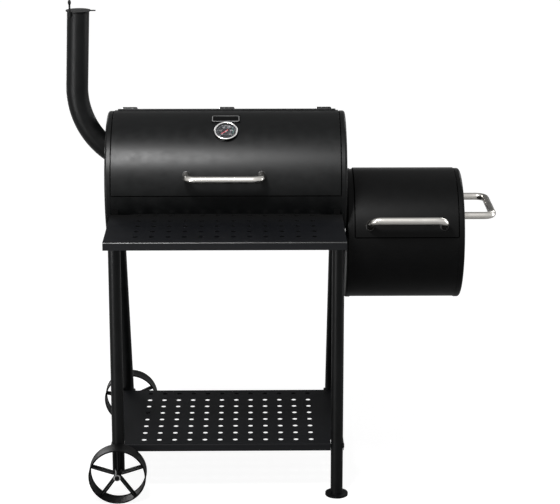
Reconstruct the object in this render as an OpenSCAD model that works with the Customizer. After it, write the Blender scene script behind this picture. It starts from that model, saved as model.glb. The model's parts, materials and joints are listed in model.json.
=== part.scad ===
// Offset smoker: a horizontal cooking drum with a hinged lid, a firebox drum on its
// right end, a bent chimney on its left end, two perforated shelves, tilted legs,
// two wheels on the left and two feet on the right.
// The front is -Y, the firebox is at +X and the floor is Z = 0.

/* [Cooking drum] */
// Outer radius of the drum
drum_r = 180; // [165:1:195]
// Length over both end caps
drum_len = 620; // [560:5:660]
// Height of the drum's axis above the floor
drum_z = 797; // [770:1:830]
// Sheet thickness of both drums and both lids
sheet = 2; // [1.5:0.1:3]
// Sheet thickness of the pressed end caps
cap_sheet = 1.5; // [1:0.1:2.5]
// Length of the flange that each end cap laps over its drum
cap_flange = 14; // [10:1:18]
// Outer radius of the bend between an end cap's face and its flange
cap_bend_r = 6; // [3:0.5:8]

/* [Drum lid] */
// Distance from each end of the drum to its lid
lid_inset = 17; // [16:1:50]
// Angle of the lid's front edge, from the front horizontal upwards
lid_front_deg = 1.5; // [-9:0.5:10]
// Angle of the lid's rear edge
lid_rear_deg = 106; // [98:0.5:108]
// Gap between a drum and the inside of its lid
lid_gap = 1.5; // [0.8:0.1:3]
// How far a lid laps over the edge of its opening, along the sheet
lid_lap = 14; // [8:1:20]

/* [Firebox] */
// Outer radius of the firebox
fire_r = 170; // [155:1:178]
// Length of the firebox over both end caps
fire_len = 306; // [260:2:360]
// Height of the firebox's axis above the floor
fire_z = 650; // [630:1:670]
// Distance from the firebox's left end to its lid
fire_lid_inset = 23; // [18:1:40]
// Distance from the firebox's right end to its lid
fire_lid_end = 17; // [16:1:40]
// Angle of the firebox lid's front edge
fire_lid_front_deg = 12; // [0:0.5:15]
// Angle of the firebox lid's rear edge
fire_lid_rear_deg = 124; // [112:0.5:130]
// Width of the throat between firebox and drum
throat_w = 140; // [80:2:150]
// Height of the throat
throat_h = 100; // [60:2:104]
// Corner radius of the throat
throat_corner_r = 20; // [5:1:28]

/* [Hinges] */
// Length of one hinge along its pin
hinge_len = 36; // [28:1:50]
// Outer radius of the hinge knuckles
knuckle_r = 4.2; // [3.6:0.1:6]
// Radius of the hinge pins
hinge_pin_r = 2.2; // [1.5:0.1:2.6]
// Thickness of the hinge leaves
leaf_t = 1.5; // [1:0.1:2]
// How far each leaf reaches along its sheet
leaf_reach = 30; // [18:1:40]
// Distance from the lid's ends to the middles of its outer hinges
hinge_inset = 37; // [24:1:120]
// Distance of the two firebox hinges from the middle of their lid
fire_hinge_spread = 90; // [50:1:105]
// Radial clearance round every pin, screw and rivet that something turns on
pin_clear = 0.06; // [0.02:0.01:0.1]
// Gap between neighbouring hinge knuckles
knuckle_gap = 0.4; // [0.2:0.1:1]

/* [Handles] */
// Radius of the handle bars
handle_r = 9.5; // [6:0.5:11]
// Distance between the two feet of a handle
handle_span = 192; // [120:2:200]
// Centreline radius of the handles' bends
handle_bend_r = 25; // [14:1:32]
// Reach of the two lid handles
handle_reach = 50; // [40:1:70]
// Reach of the handle on the end of the firebox
side_handle_reach = 80; // [50:1:110]
// Angle at which the drum lid's handle stands on its lid
lid_handle_deg = 18; // [10:1:30]
// Distance of the drum lid's handle from the middle of the lid
lid_handle_x = -4.5; // [-20:0.5:20]
// Angle at which the firebox lid's handle stands on its lid
fire_handle_deg = 21; // [17:1:35]
// Upward tilt of the firebox lid's handle
fire_handle_tilt = 33; // [0:1:45]
// Height of the side handle above the firebox's axis
side_handle_rise = 73; // [55:1:85]
// Radius of the handle screws
handle_screw_r = 3; // [2:0.5:4]
// Depth of the threaded holes in the handle feet
handle_screw_depth = 18; // [10:1:20]

/* [Thermometer and plate] */
// Angle of the thermometer on the lid
thermo_deg = 55.5; // [48:0.5:60]
// Outer radius of the thermometer's bezel
thermo_r = 30; // [26:1:34]
// Height of the bezel above the lid
thermo_h = 9; // [9:0.5:14]
// Wall of the bezel ring
bezel_wall = 2.6; // [1.5:0.1:4]
// Radius of the thermometer's stem
stem_r = 3; // [2:0.5:4]
// Length of the stem inside the lid
stem_len = 60; // [30:2:80]
// Radius of the pin that the pointer turns on
pointer_pin_r = 1; // [0.6:0.1:1.5]
// Angle that the pointer shows at rest, anticlockwise from the right
pointer_deg = 215; // [180:1:260]
// Width of the bare plate
plate_w = 73; // [50:1:90]
// Height of the bare plate along the lid
plate_h = 36; // [20:1:40]
// Thickness of the plate
plate_t = 1.2; // [0.8:0.1:2]
// Angle of the plate's middle on the lid
plate_deg = 73; // [71:0.5:78]

/* [Chimney] */
// Outer radius of the chimney pipe
pipe_r = 28.6; // [24:0.2:36]
// Wall of the chimney pipe
pipe_wall = 1.6; // [1.2:0.1:2.5]
// Distance of the pipe's axis from the drum's left end where its bend begins
pipe_out = 77.5; // [60:0.5:100]
// Centreline radius of the pipe's bend
pipe_bend_r = 204; // [180:1:260]
// Lean of the upright pipe towards the drum
pipe_lean = 2.5; // [0:0.1:4]
// Height of the pipe's middle above the drum's axis where it enters the end cap
pipe_entry_rise = 83; // [76:1:92]
// Height of the chimney's rim above the floor
pipe_top_z = 1245; // [1150:1:1300]
// Width of the flange round the pipe on the end cap
pipe_flange_w = 14; // [8:1:16]
// Thickness of that flange
pipe_flange_t = 2; // [1:0.1:3]

/* [Damper] */
// How far the damper disc stands out past the pipe
damper_lap = 3.5; // [1:0.5:5]
// Thickness of the damper
damper_t = 2; // [1.2:0.1:3]
// Gap between the pipe's rim and the damper
damper_clear = 0.3; // [0.2:0.1:0.6]
// Distance from the chimney's axis to the end of the finger tab
tab_reach = 45; // [40:1:55]
// Width of the finger tab
tab_w = 9; // [6:1:18]
// Radius of the pivot screw
pivot_r = 2.5; // [2:0.1:3.5]
// Radius of the lug that holds the pivot screw
lug_r = 5.5; // [5.5:0.5:9]
// Height of the lug
lug_h = 10; // [8:1:24]
// Direction of the pivot from the chimney's axis
pivot_dir = 233; // [215:1:240]
// Height of the knob on the pivot screw
knob_h = 15; // [9:1:18]
// Radius of the knob
knob_r = 4.2; // [4:0.1:8]
// Length of bare screw between damper and knob
knob_neck = 16; // [2:1:20]

/* [Air vent] */
// Radius of the turning vent plate on the firebox's right end
vent_r = 52; // [44:1:60]
// Radius of each air hole
vent_hole_r = 13; // [8:1:15]
// Radius of the circle that the air holes stand on
vent_ring_r = 32; // [27:1:34]
// Drop of the vent's middle below the firebox's axis
vent_drop = 50; // [20:1:70]
// Thickness of the vent plate
vent_t = 1.5; // [1:0.1:2.5]
// Gap between the vent plate and the end cap
vent_clear = 0.3; // [0.2:0.1:0.6]
// Radius of the vent's rivet
rivet_r = 3; // [2:0.5:5]
// Reach of the vent plate's turned-out finger tab
vent_tab_reach = 14; // [8:1:20]

/* [Grates] */
// Drop of the cooking grates below the drum's axis
grate_drop = 32; // [28:1:60]
// Radius of a grate's frame wire
frame_wire_r = 3; // [2.2:0.1:4]
// Radius of a grate's bars
bar_r = 2; // [1.5:0.1:2.5]
// Radius of the frame wire's corners
wire_corner_r = 12; // [6:1:24]
// Spacing of the cooking grates' bars
bar_pitch = 16; // [12:1:24]
// Spacing of the charcoal grate's bars
coal_bar_pitch = 14; // [10:1:20]
// Gap between a grate and what is beside it
grate_gap = 4; // [2:0.5:8]
// Width of the ledges that the grates rest on
ledge_w = 22; // [16:1:30]
// Thickness of the ledges
ledge_t = 2; // [1.5:0.1:3]
// Drop of the charcoal grate below the firebox's axis
coal_drop = 88; // [70:1:110]

/* [Front shelf] */
// Height of the front shelf's top
shelf_z = 750; // [740:1:755]
// Distance from the drum's ends to the front shelf's ends
shelf_inset = 13; // [8:1:30]
// How far the shelf stands out in front of the drum's axis
shelf_out = 425; // [380:1:460]
// Height of both shelves' lips
lip_h = 20; // [15:1:26]
// Sheet thickness of both shelves
shelf_sheet = 1.2; // [1:0.1:2]
// Outer radius of the bends along both shelves' edges
shelf_bend_r = 3; // [2:0.5:5]
// Radius of the holes in both shelves
hole_r = 6.5; // [4:0.5:9]
// Hole spacing across both shelves
hole_pitch_x = 40; // [30:1:50]
// Hole spacing from front to back
hole_pitch_y = 47; // [35:1:60]
// Holes in each row
hole_cols = 12; // [6:1:12]
// Rows of holes in the front shelf
shelf_rows = 5; // [2:1:5]
// Distance from the front shelf's edge to its first row
shelf_row_inset = 50; // [30:1:52]
// Width of the ears that hook the front shelf to the drum
ear_w = 16; // [10:1:20]
// Thickness of those ears
ear_t = 2.5; // [2:0.1:3.5]

/* [Bottom shelf] */
// Height of the bottom shelf's top
low_shelf_z = 145; // [135:1:200]
// How far the bottom shelf reaches in front of the drum's axis
low_shelf_front = 244; // [238:1:244]
// Depth of the bottom shelf
low_shelf_depth = 389; // [370:1:392]
// Rows of holes in the bottom shelf
low_shelf_rows = 8; // [4:1:8]
// Distance from the bottom shelf's front edge to its first row
low_row_inset = 31; // [20:1:36]
// Gap between the bottom shelf and the legs that stand in its notches
notch_gap = 0.6; // [0.3:0.1:2]

/* [Legs] */
// Outer radius of the legs
leg_r = 16; // [13:0.5:17]
// Wall of the legs
leg_wall = 1.5; // [1:0.1:2.5]
// Distance from the drum's ends to the legs' axes
leg_inset = 23; // [22:1:35]
// Distance of the front legs' axes in front of the drum's axis, at the floor
front_foot_out = 243; // [238:1:246]
// The same at the front legs' tops
front_top_out = 197; // [196:1:205]
// Distance of the rear legs' axes behind the drum's axis, at the floor
rear_foot_out = 216; // [205:1:230]
// The same where the rear legs meet the drum
rear_top_out = 0; // [-10:1:15]
// Height where the left legs end, above the floor
left_leg_end_z = 66; // [58:1:68]
// Radius of the foot discs
foot_r = 30; // [22:1:36]
// Thickness of the foot discs
foot_t = 5; // [3:0.5:8]
// Length of the plug that each foot holds its leg with
foot_plug = 22; // [10:1:30]
// Gap between that plug and the tube
plug_gap = 0.2; // [0.1:0.1:0.5]
// Thickness of the brackets that hold the legs to the drum
bracket_t = 3; // [2:0.5:5]
// Width of the bracket flanges on the drum
bracket_w = 30; // [20:1:40]
// Radius of the bolts in brackets and shelves
bolt_r = 3; // [2:0.5:4]
// Thickness of the bolt heads and nuts
bolt_head_t = 4; // [2.5:0.5:5]
// Thickness of the flat screw heads on the legs' outer sides
flat_head_t = 1.5; // [1:0.1:3]
// Distance from a leg's top to its first bracket bolt
bracket_bolt_drop = 16; // [14:1:20]
// Distance between the two bracket bolts of a leg
bracket_bolt_pitch = 26; // [18:1:30]

/* [Wheels] */
// Radius of the wheels
wheel_r = 75; // [72:1:80]
// Width of the wheels' rims
rim_w = 46; // [30:1:47]
// Thickness of the rims
rim_t = 2.5; // [2:0.1:4]
// Radius of the spokes
spoke_r = 4.5; // [3:0.5:6]
// Number of spokes
spokes = 5; // [4:1:8]
// Distance of the front wheel's middle in front of the drum's axis
front_wheel_out = 275; // [274:1:300]
// Distance of the rear wheel's middle behind the drum's axis
rear_wheel_out = 273; // [268:1:300]
// Radius of the axle
axle_r = 5; // [4:0.5:6]
// Radial clearance of the wheels on the axle
axle_clear = 0.08; // [0.03:0.01:0.1]
// Outer radius of the hubs and axle sleeves
hub_r = 9.5; // [8:0.5:12]
// How far each hub reaches inwards from the wheel's middle
hub_in = 18.5; // [15:0.5:18.5]
// How far each hub reaches outwards from the wheel's middle
hub_out = 26; // [23:0.5:34]
// Gap at each end of a hub
hub_gap = 0.4; // [0.2:0.1:1]
// Thickness of the axle washers
washer_t = 1.2; // [0.8:0.1:2]
// Length of the caps on the axle's ends
axle_cap_h = 4; // [3:0.5:8]

/* [Hidden] */
$fn = 72;

// Colours of the finishes
black = [0.05, 0.05, 0.055];
shelf_black = [0.09, 0.09, 0.1];
steel = [0.78, 0.77, 0.74];
zinc = [0.6, 0.6, 0.58];
dial_grey = [0.3, 0.3, 0.31];
red = [0.75, 0.08, 0.05];

// Long enough to cut through anything
far = 2000;
// Depth by which a cutter runs past a face
past = 1;
degrees_per_radian = 180 / PI;

// Ends of the drums
drum_end = drum_len / 2;
fire_x0 = drum_end;
fire_x1 = drum_end + fire_len;

// Lids
lid_in_r = drum_r + lid_gap;
lid_out_r = lid_in_r + sheet;
lid_x1 = drum_end - lid_inset;
fire_lid_in_r = fire_r + lid_gap;
fire_lid_out_r = fire_lid_in_r + sheet;
fire_lid_x0 = fire_x0 + fire_lid_inset;
fire_lid_x1 = fire_x1 - fire_lid_end;
fire_lid_mid = (fire_lid_x0 + fire_lid_x1) / 2;

// Hinge pins stand just behind the lids' rear edges and outside their skins
hinge_behind = 5;
knuckle_lift = 0.2;
lid_pin_r = lid_out_r + knuckle_r + knuckle_lift;
lid_pin_deg = lid_rear_deg + hinge_behind / lid_out_r * degrees_per_radian;
fire_pin_r = fire_lid_out_r + knuckle_r + knuckle_lift;
fire_pin_deg = fire_lid_rear_deg + hinge_behind / fire_lid_out_r * degrees_per_radian;
lid_hinge_x = [hinge_inset - lid_x1, 0, lid_x1 - hinge_inset];
fire_hinge_x = [fire_lid_mid - fire_hinge_spread, fire_lid_mid + fire_hinge_spread];

// Chimney
pipe_x = -drum_end - pipe_out;
pipe_bend_deg = acos(cos(pipe_lean) - pipe_out / pipe_bend_r);
pipe_bend_z = drum_z + pipe_entry_rise
    + pipe_bend_r * (sin(pipe_bend_deg) + sin(pipe_lean));
pipe_top_x = pipe_x + (pipe_top_z - pipe_bend_z) * tan(pipe_lean);
pipe_inside = 6;
pivot_dist = pipe_r + pivot_r + pin_clear + 0.8;
pivot_x = pipe_top_x + pivot_dist * cos(pivot_dir);
pivot_y = pivot_dist * sin(pivot_dir);
damper_z0 = pipe_top_z + damper_clear;
damper_z1 = damper_z0 + damper_t;
damper_r = pipe_r + damper_lap;
knob_z = damper_z1 + knob_neck;

// Legs, wheels and shelves
leg_x = drum_end - leg_inset;
leg_top_z = shelf_z - lip_h;
rear_top_z = drum_z - drum_r;
axle_z = wheel_r;
low_shelf_x = leg_x + leg_r + notch_gap + shelf_sheet;
low_shelf_y0 = -low_shelf_front;
low_shelf_y1 = low_shelf_y0 + low_shelf_depth;
shelf_y0 = -shelf_out;
shelf_w = drum_len - 2 * shelf_inset;
shelf_play = 6;
shelf_y1 = -chord(drum_r + cap_sheet, drum_z - shelf_z - shelf_play);
shelf_bolt_z = low_shelf_z - lip_h / 2;

// The object's box, whose bottom centre is the origin
box_x0 = pipe_top_x - damper_r;
box_x1 = fire_x1 + side_handle_reach + handle_r;
axle_end_front = front_wheel_out + hub_out + hub_gap + washer_t + axle_cap_h;
axle_end_rear = rear_wheel_out + hub_out + hub_gap + washer_t + axle_cap_h;
box_y0 = -max(shelf_out, axle_end_front);
box_y1 = axle_end_rear;

// Half the width of a circle at a given distance from its centre
function chord(r, d) = sqrt(r * r - d * d);

// Where a leg's axis stands at a given height
function front_leg_y(z) = -front_foot_out + (front_foot_out - front_top_out) * z / leg_top_z;
function rear_leg_y(z) = rear_foot_out - (rear_foot_out - rear_top_out) * z / rear_top_z;

// Angle along a sheet for a given length on it
function arc_deg(length, r) = length / r * degrees_per_radian;

// Puts everything in the frame whose origin is the bottom centre of the object's box
module placed() {
    translate([-(box_x0 + box_x1) / 2, -(box_y0 + box_y1) / 2, 0])
        children();
}

// A solid cylinder along X round a given height
module x_rod(r, x0, x1, z, y = 0) {
    translate([x0, y, z])
        rotate([0, 90, 0])
            cylinder(r = r, h = x1 - x0);
}

// A solid cylinder along Y
module y_rod(r, y0, y1, x, z) {
    translate([x, y1, z])
        rotate([90, 0, 0])
            cylinder(r = r, h = y1 - y0);
}

// A curved panel: a ring about the X axis at height z between two angles, which
// count from the front horizontal upwards and over
module arc_panel(r0, r1, x0, x1, a0, a1, z) {
    translate([0, 0, z])
        rotate([90, 0, -90])
            rotate([0, 0, a0])
                rotate_extrude(angle = a1 - a0, $fn = 180)
                    translate([r0, -x1])
                        square([r1 - r0, x1 - x0]);
}

// Local frame on a drum: Z points out of the sheet, X stays along the drum
module on_drum(z, a, r, x = 0) {
    translate([x, 0, z])
        rotate([90 - a, 0, 0])
            translate([0, 0, r])
                children();
}

// A rectangle with round corners, centred
module round_rect(w, h, r) {
    square([w, h - 2 * r], center = true);
    square([w - 2 * r, h], center = true);
    for (i = [-1, 1], j = [-1, 1])
        translate([i * (w / 2 - r), j * (h / 2 - r)])
            circle(r = r);
}

// ---- Drums ----

// Drum skin with the window that its lid covers
module drum_skin(r, x0, x1, z, win_x0, win_x1, win_a0, win_a1) {
    lap = arc_deg(lid_lap, r);
    difference() {
        arc_panel(r - sheet, r, x0, x1, 0, 360, z);
        arc_panel(r - sheet - past, r + past, win_x0 + lid_lap, win_x1 - lid_lap,
            win_a0 + lap, win_a1 - lap, z);
    }
}

// Profile of a pressed end cap: radius along X, depth along Y
module cap_profile(r) {
    out_r = r + cap_sheet;
    square([out_r - cap_bend_r, cap_sheet]);
    translate([r, cap_bend_r])
        square([cap_sheet, cap_flange - cap_bend_r]);
    translate([out_r - cap_bend_r, cap_bend_r])
        intersection() {
            difference() {
                circle(r = cap_bend_r);
                circle(r = cap_bend_r - cap_sheet);
            }
            translate([0, -cap_bend_r])
                square(cap_bend_r);
        }
}

// Pressed end cap whose flange laps over the drum; side is the way its face points
module end_cap(r, x, z, side) {
    translate([x, 0, z])
        rotate([0, -90 * side, 0])
            rotate_extrude($fn = 180)
                cap_profile(r);
}

// Height of the throat's middle
throat_mid_z = (drum_z - drum_r + fire_z + fire_r) / 2;

// The throat's outline, long enough to cut both end caps
module throat_cut() {
    translate([drum_end - cap_flange, 0, throat_mid_z])
        rotate([90, 0, 90])
            linear_extrude(2 * cap_flange)
                round_rect(throat_w, throat_h, throat_corner_r);
}

// Bolts round the throat: two beside it at mid height, two above and two below
throat_bolt_gap = 16;
throat_bolt_at = [
    for (i = [-1, 1]) [i * (throat_w / 2 + throat_bolt_gap), throat_mid_z],
    for (i = [-1, 1], j = [-1, 1])
        [i * throat_w / 4, throat_mid_z + j * (throat_h / 2 + throat_bolt_gap)]
];

module throat_bolt_holes() {
    for (p = throat_bolt_at)
        x_rod(bolt_r, drum_end - cap_flange, drum_end + cap_flange, p[1], p[0]);
}

module drum_shell() {
    color(black)
        placed()
            drum_skin(drum_r, -drum_end + cap_bend_r, drum_end - cap_bend_r, drum_z,
                -lid_x1, lid_x1, lid_front_deg, lid_rear_deg);
}

module drum_left_cap() {
    color(black)
        placed()
            difference() {
                end_cap(drum_r, -drum_end, drum_z, -1);
                chimney_core(pipe_r);
            }
}

module drum_right_cap() {
    color(black)
        placed()
            difference() {
                end_cap(drum_r, drum_end, drum_z, 1);
                throat_cut();
                throat_bolt_holes();
            }
}

module firebox_shell() {
    color(black)
        placed()
            drum_skin(fire_r, fire_x0 + cap_bend_r, fire_x1 - cap_bend_r, fire_z,
                fire_lid_x0, fire_lid_x1, fire_lid_front_deg, fire_lid_rear_deg);
}

module firebox_left_cap() {
    color(black)
        placed()
            difference() {
                end_cap(fire_r, fire_x0, fire_z, -1);
                throat_cut();
                throat_bolt_holes();
            }
}

module firebox_right_cap() {
    color(black)
        placed()
            difference() {
                end_cap(fire_r, fire_x1, fire_z, 1);
                vent_holes(fire_x1 - cap_flange, fire_x1 + past);
                x_rod(rivet_r, fire_x1 - cap_flange, fire_x1 + past, vent_z);
                for (i = [-1, 1])
                    x_rod(handle_screw_r, fire_x1 - cap_flange, fire_x1 + past,
                        fire_z + side_handle_rise, i * handle_span / 2);
            }
}

// Bolts that join the two end caps round the throat, head on the firebox's side
module throat_bolts() {
    color(zinc)
        placed()
            for (p = throat_bolt_at) {
                x_rod(bolt_r, drum_end - cap_sheet - bolt_head_t,
                    drum_end + cap_sheet + bolt_head_t, p[1], p[0]);
                x_rod(1.8 * bolt_r, drum_end + cap_sheet,
                    drum_end + cap_sheet + bolt_head_t, p[1], p[0], $fn = 6);
                x_rod(1.8 * bolt_r, drum_end - cap_sheet - bolt_head_t,
                    drum_end - cap_sheet, p[1], p[0], $fn = 6);
            }
}

// ---- Lids ----

module drum_lid() {
    color(black)
        placed()
            difference() {
                arc_panel(lid_in_r, lid_out_r, -lid_x1, lid_x1, lid_front_deg,
                    lid_rear_deg, drum_z);
                on_drum(drum_z, thermo_deg, drum_r - past)
                    cylinder(r = stem_r, h = lid_out_r - drum_r + 2 * past);
                lid_handle_frame()
                    handle_screw_line(handle_screw_r);
            }
}

module firebox_lid() {
    color(black)
        placed()
            difference() {
                arc_panel(fire_lid_in_r, fire_lid_out_r, fire_lid_x0, fire_lid_x1,
                    fire_lid_front_deg, fire_lid_rear_deg, fire_z);
                fire_handle_frame()
                    handle_screw_line(handle_screw_r);
            }
}

// ---- Handles ----

// A U of round bar: the feet stand at Z = 0, the grip is at Z = reach along X
module handle_bar(reach) {
    foot_x = handle_span / 2;
    for (i = [-1, 1]) {
        translate([i * foot_x, 0, -handle_r])
            cylinder(r = handle_r, h = reach - handle_bend_r + handle_r);
        translate([i * (foot_x - handle_bend_r), 0, reach - handle_bend_r])
            rotate([90, 0, 0])
                rotate([0, 0, i > 0 ? 0 : 90])
                    rotate_extrude(angle = 90)
                        translate([handle_bend_r, 0])
                            circle(r = handle_r);
    }
    translate([-(foot_x - handle_bend_r), 0, reach])
        rotate([0, 90, 0])
            cylinder(r = handle_r, h = handle_span - 2 * handle_bend_r);
}

// Screw holes along both legs of a handle
module handle_screw_line(r) {
    for (i = [-1, 1])
        translate([i * handle_span / 2, 0, -2 * handle_r])
            cylinder(r = r, h = 2 * handle_r + handle_screw_depth);
}

// The drum lid's handle points straight forwards
module lid_handle_frame() {
    translate([lid_handle_x, -lid_out_r * cos(lid_handle_deg),
            drum_z + lid_out_r * sin(lid_handle_deg)])
        rotate([90, 0, 0])
            children();
}

module fire_handle_frame() {
    translate([fire_lid_mid, -fire_lid_out_r * cos(fire_handle_deg),
            fire_z + fire_lid_out_r * sin(fire_handle_deg)])
        rotate([90 - fire_handle_tilt, 0, 0])
            children();
}

module side_handle_frame() {
    translate([fire_x1, 0, fire_z + side_handle_rise])
        rotate([90, 0, 90])
            children();
}

// Round heads on the same lines, up to where the handle stands
module handle_screw_heads() {
    for (i = [-1, 1])
        translate([i * handle_span / 2, 0, -2 * handle_r])
            cylinder(r = 2 * handle_screw_r, h = 2 * handle_r);
}

// Height of those heads
screw_head_t = 4;

module lid_handle() {
    color(steel)
        placed()
            difference() {
                lid_handle_frame()
                    handle_bar(handle_reach);
                x_rod(lid_out_r, -far, far, drum_z, $fn = 180);
                lid_handle_frame()
                    handle_screw_line(handle_screw_r);
            }
}

module firebox_lid_handle() {
    color(steel)
        placed()
            difference() {
                fire_handle_frame()
                    handle_bar(handle_reach);
                x_rod(fire_lid_out_r, -far, far, fire_z, $fn = 180);
                fire_handle_frame()
                    handle_screw_line(handle_screw_r);
            }
}

module side_handle() {
    color(steel)
        placed()
            difference() {
                side_handle_frame()
                    handle_bar(side_handle_reach);
                translate([fire_x1 - far, -far / 2, 0])
                    cube([far, far, far]);
                side_handle_frame()
                    handle_screw_line(handle_screw_r);
            }
}

// Screws up a lid handle's legs, with heads that seat on the sheet's inner face
module curved_screws(z, in_r) {
    difference() {
        union() {
            children(0);
            intersection() {
                children(1);
                x_rod(in_r, -far, far, z, $fn = 180);
            }
        }
        x_rod(in_r - screw_head_t, -far, far, z, $fn = 180);
    }
}

module lid_handle_screws() {
    color(zinc)
        placed()
            curved_screws(drum_z, lid_in_r) {
                lid_handle_frame()
                    handle_screw_line(handle_screw_r);
                lid_handle_frame()
                    handle_screw_heads();
            }
}

module firebox_lid_handle_screws() {
    color(zinc)
        placed()
            curved_screws(fire_z, fire_lid_in_r) {
                fire_handle_frame()
                    handle_screw_line(handle_screw_r);
                fire_handle_frame()
                    handle_screw_heads();
            }
}

module side_handle_screws() {
    head_x = fire_x1 - cap_sheet;
    z = fire_z + side_handle_rise;
    color(zinc)
        placed()
            for (y = [-handle_span / 2, handle_span / 2]) {
                x_rod(handle_screw_r, head_x - screw_head_t, fire_x1 + handle_screw_depth,
                    z, y);
                x_rod(2 * handle_screw_r, head_x - screw_head_t, head_x, z, y);
            }
}

// ---- Hinges ----

// Knuckles along the pin: the middle third turns with the lid
knuckle_third = hinge_len / 3;

// Fixed half of one hinge: a leaf on the drum, a riser and the two outer knuckles
module hinge_base(r, pin_r, pin_a, z, x) {
    wall = knuckle_r - hinge_pin_r;
    rise_a0 = pin_a + arc_deg(hinge_pin_r + 0.2 * wall, pin_r);
    rise_a1 = pin_a + arc_deg(knuckle_r - 0.15 * wall, pin_r);
    difference() {
        union() {
            arc_panel(r, r + leaf_t, x - hinge_len / 2, x + hinge_len / 2, pin_a,
                pin_a + arc_deg(leaf_reach, r), z);
            for (i = [0, 2]) {
                x0 = x - hinge_len / 2 + i * knuckle_third;
                arc_panel(r + leaf_t / 2, pin_r, x0 + knuckle_gap, x0 + knuckle_third - knuckle_gap,
                    rise_a0, rise_a1, z);
                on_drum(z, pin_a, pin_r, x0)
                    rotate([0, 90, 0])
                        cylinder(r = knuckle_r, h = knuckle_third);
            }
        }
        on_drum(z, pin_a, pin_r, x - hinge_len)
            rotate([0, 90, 0])
                cylinder(r = hinge_pin_r, h = 2 * hinge_len);
    }
}

// Moving half of one hinge: a leaf on the lid, a tongue and the middle knuckle
module hinge_leaf(lid_r, lid_a, pin_r, pin_a, z, x) {
    k0 = x - knuckle_third / 2 + knuckle_gap;
    k1 = x + knuckle_third / 2 - knuckle_gap;
    edge_deg = arc_deg(past, lid_r);
    difference() {
        union() {
            arc_panel(lid_r, lid_r + leaf_t, x - hinge_len / 2, x + hinge_len / 2,
                lid_a - arc_deg(leaf_reach, lid_r), lid_a - edge_deg, z);
            arc_panel(lid_r, lid_r + leaf_t, k0, k1, lid_a - 2 * edge_deg,
                pin_a - arc_deg(0.25 * knuckle_r, pin_r), z);
            on_drum(z, pin_a, pin_r, k0)
                rotate([0, 90, 0])
                    cylinder(r = knuckle_r, h = k1 - k0);
        }
        on_drum(z, pin_a, pin_r, x - hinge_len)
            rotate([0, 90, 0])
                cylinder(r = hinge_pin_r + pin_clear, h = 2 * hinge_len);
    }
}

// Hinge pin with a small head on its left end
module hinge_pin(pin_r, pin_a, z, x) {
    head_t = 2;
    on_drum(z, pin_a, pin_r, x - hinge_len / 2)
        rotate([0, 90, 0]) {
            cylinder(r = hinge_pin_r, h = hinge_len + past);
            translate([0, 0, -head_t])
                cylinder(r = knuckle_r - 0.6, h = head_t);
        }
}

module lid_hinge_bases() {
    color(black)
        placed()
            for (x = lid_hinge_x)
                hinge_base(drum_r, lid_pin_r, lid_pin_deg, drum_z, x);
}

module lid_hinge_leaves() {
    color(black)
        placed()
            for (x = lid_hinge_x)
                hinge_leaf(lid_out_r, lid_rear_deg, lid_pin_r, lid_pin_deg, drum_z, x);
}

module lid_hinge_pins() {
    color(zinc)
        placed()
            for (x = lid_hinge_x)
                hinge_pin(lid_pin_r, lid_pin_deg, drum_z, x);
}

module firebox_hinge_bases() {
    color(black)
        placed()
            for (x = fire_hinge_x)
                hinge_base(fire_r, fire_pin_r, fire_pin_deg, fire_z, x);
}

module firebox_lid_hinge_leaves() {
    color(black)
        placed()
            for (x = fire_hinge_x)
                hinge_leaf(fire_lid_out_r, fire_lid_rear_deg, fire_pin_r, fire_pin_deg,
                    fire_z, x);
}

module firebox_hinge_pins() {
    color(zinc)
        placed()
            for (x = fire_hinge_x)
                hinge_pin(fire_pin_r, fire_pin_deg, fire_z, x);
}

// ---- Thermometer and plate ----

// Heights inside the thermometer, counted from the lid's skin
case_floor = 4;
dial_t = 0.8;
glass_t = 1.6;
glass_top = thermo_h - 0.8;
well_r = thermo_r - bezel_wall;
pointer_z = case_floor + dial_t + 0.7;
pointer_t = 0.5;
pointer_len = 0.82 * well_r;

module thermo_frame() {
    on_drum(drum_z, thermo_deg, lid_out_r)
        children();
}

// Case with its bezel ring, foot and stem; the foot seats on the curved lid
module thermometer_case() {
    color(steel)
        placed()
            difference() {
                union() {
                    difference() {
                        thermo_frame() {
                            translate([0, 0, case_floor - 1.5])
                                cylinder(r = thermo_r, h = thermo_h - case_floor + 1.5);
                            translate([0, 0, -case_floor])
                                cylinder(r = 0.8 * thermo_r, h = 2 * case_floor - 1);
                        }
                        x_rod(lid_out_r, -far, far, drum_z, $fn = 180);
                    }
                    thermo_frame()
                        translate([0, 0, -stem_len])
                            cylinder(r = stem_r, h = stem_len + case_floor / 2);
                }
                thermo_frame()
                    translate([0, 0, case_floor])
                        cylinder(r = well_r, h = thermo_h);
            }
}

// Dial with the pin that the pointer turns on
module thermometer_dial() {
    color(dial_grey)
        placed()
            thermo_frame()
                translate([0, 0, case_floor]) {
                    cylinder(r = well_r, h = dial_t);
                    cylinder(r = pointer_pin_r, h = pointer_z + pointer_t - case_floor + 0.4);
                }
}

module thermometer_glass() {
    color([0.8, 0.85, 0.9, 0.4])
        placed()
            thermo_frame()
                translate([0, 0, glass_top - glass_t])
                    cylinder(r = well_r, h = glass_t);
}

// Pointer: a hub, a tapering arm and a short tail
module thermometer_pointer() {
    hub_disc_r = 2.5 * pointer_pin_r;
    tail = 0.35 * pointer_len;
    root_half = 1.4;
    tip_half = 0.4;
    color(red)
        placed()
            thermo_frame()
                translate([0, 0, pointer_z])
                    rotate([0, 0, pointer_deg])
                        difference() {
                            union() {
                                cylinder(r = hub_disc_r, h = pointer_t);
                                linear_extrude(pointer_t)
                                    polygon([
                                        [-tail, -root_half],
                                        [-tail, root_half],
                                        [pointer_len, tip_half],
                                        [pointer_len, -tip_half]
                                    ]);
                            }
                            translate([0, 0, -past])
                                cylinder(r = pointer_pin_r + pin_clear, h = pointer_t + 2 * past);
                        }
}

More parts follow.
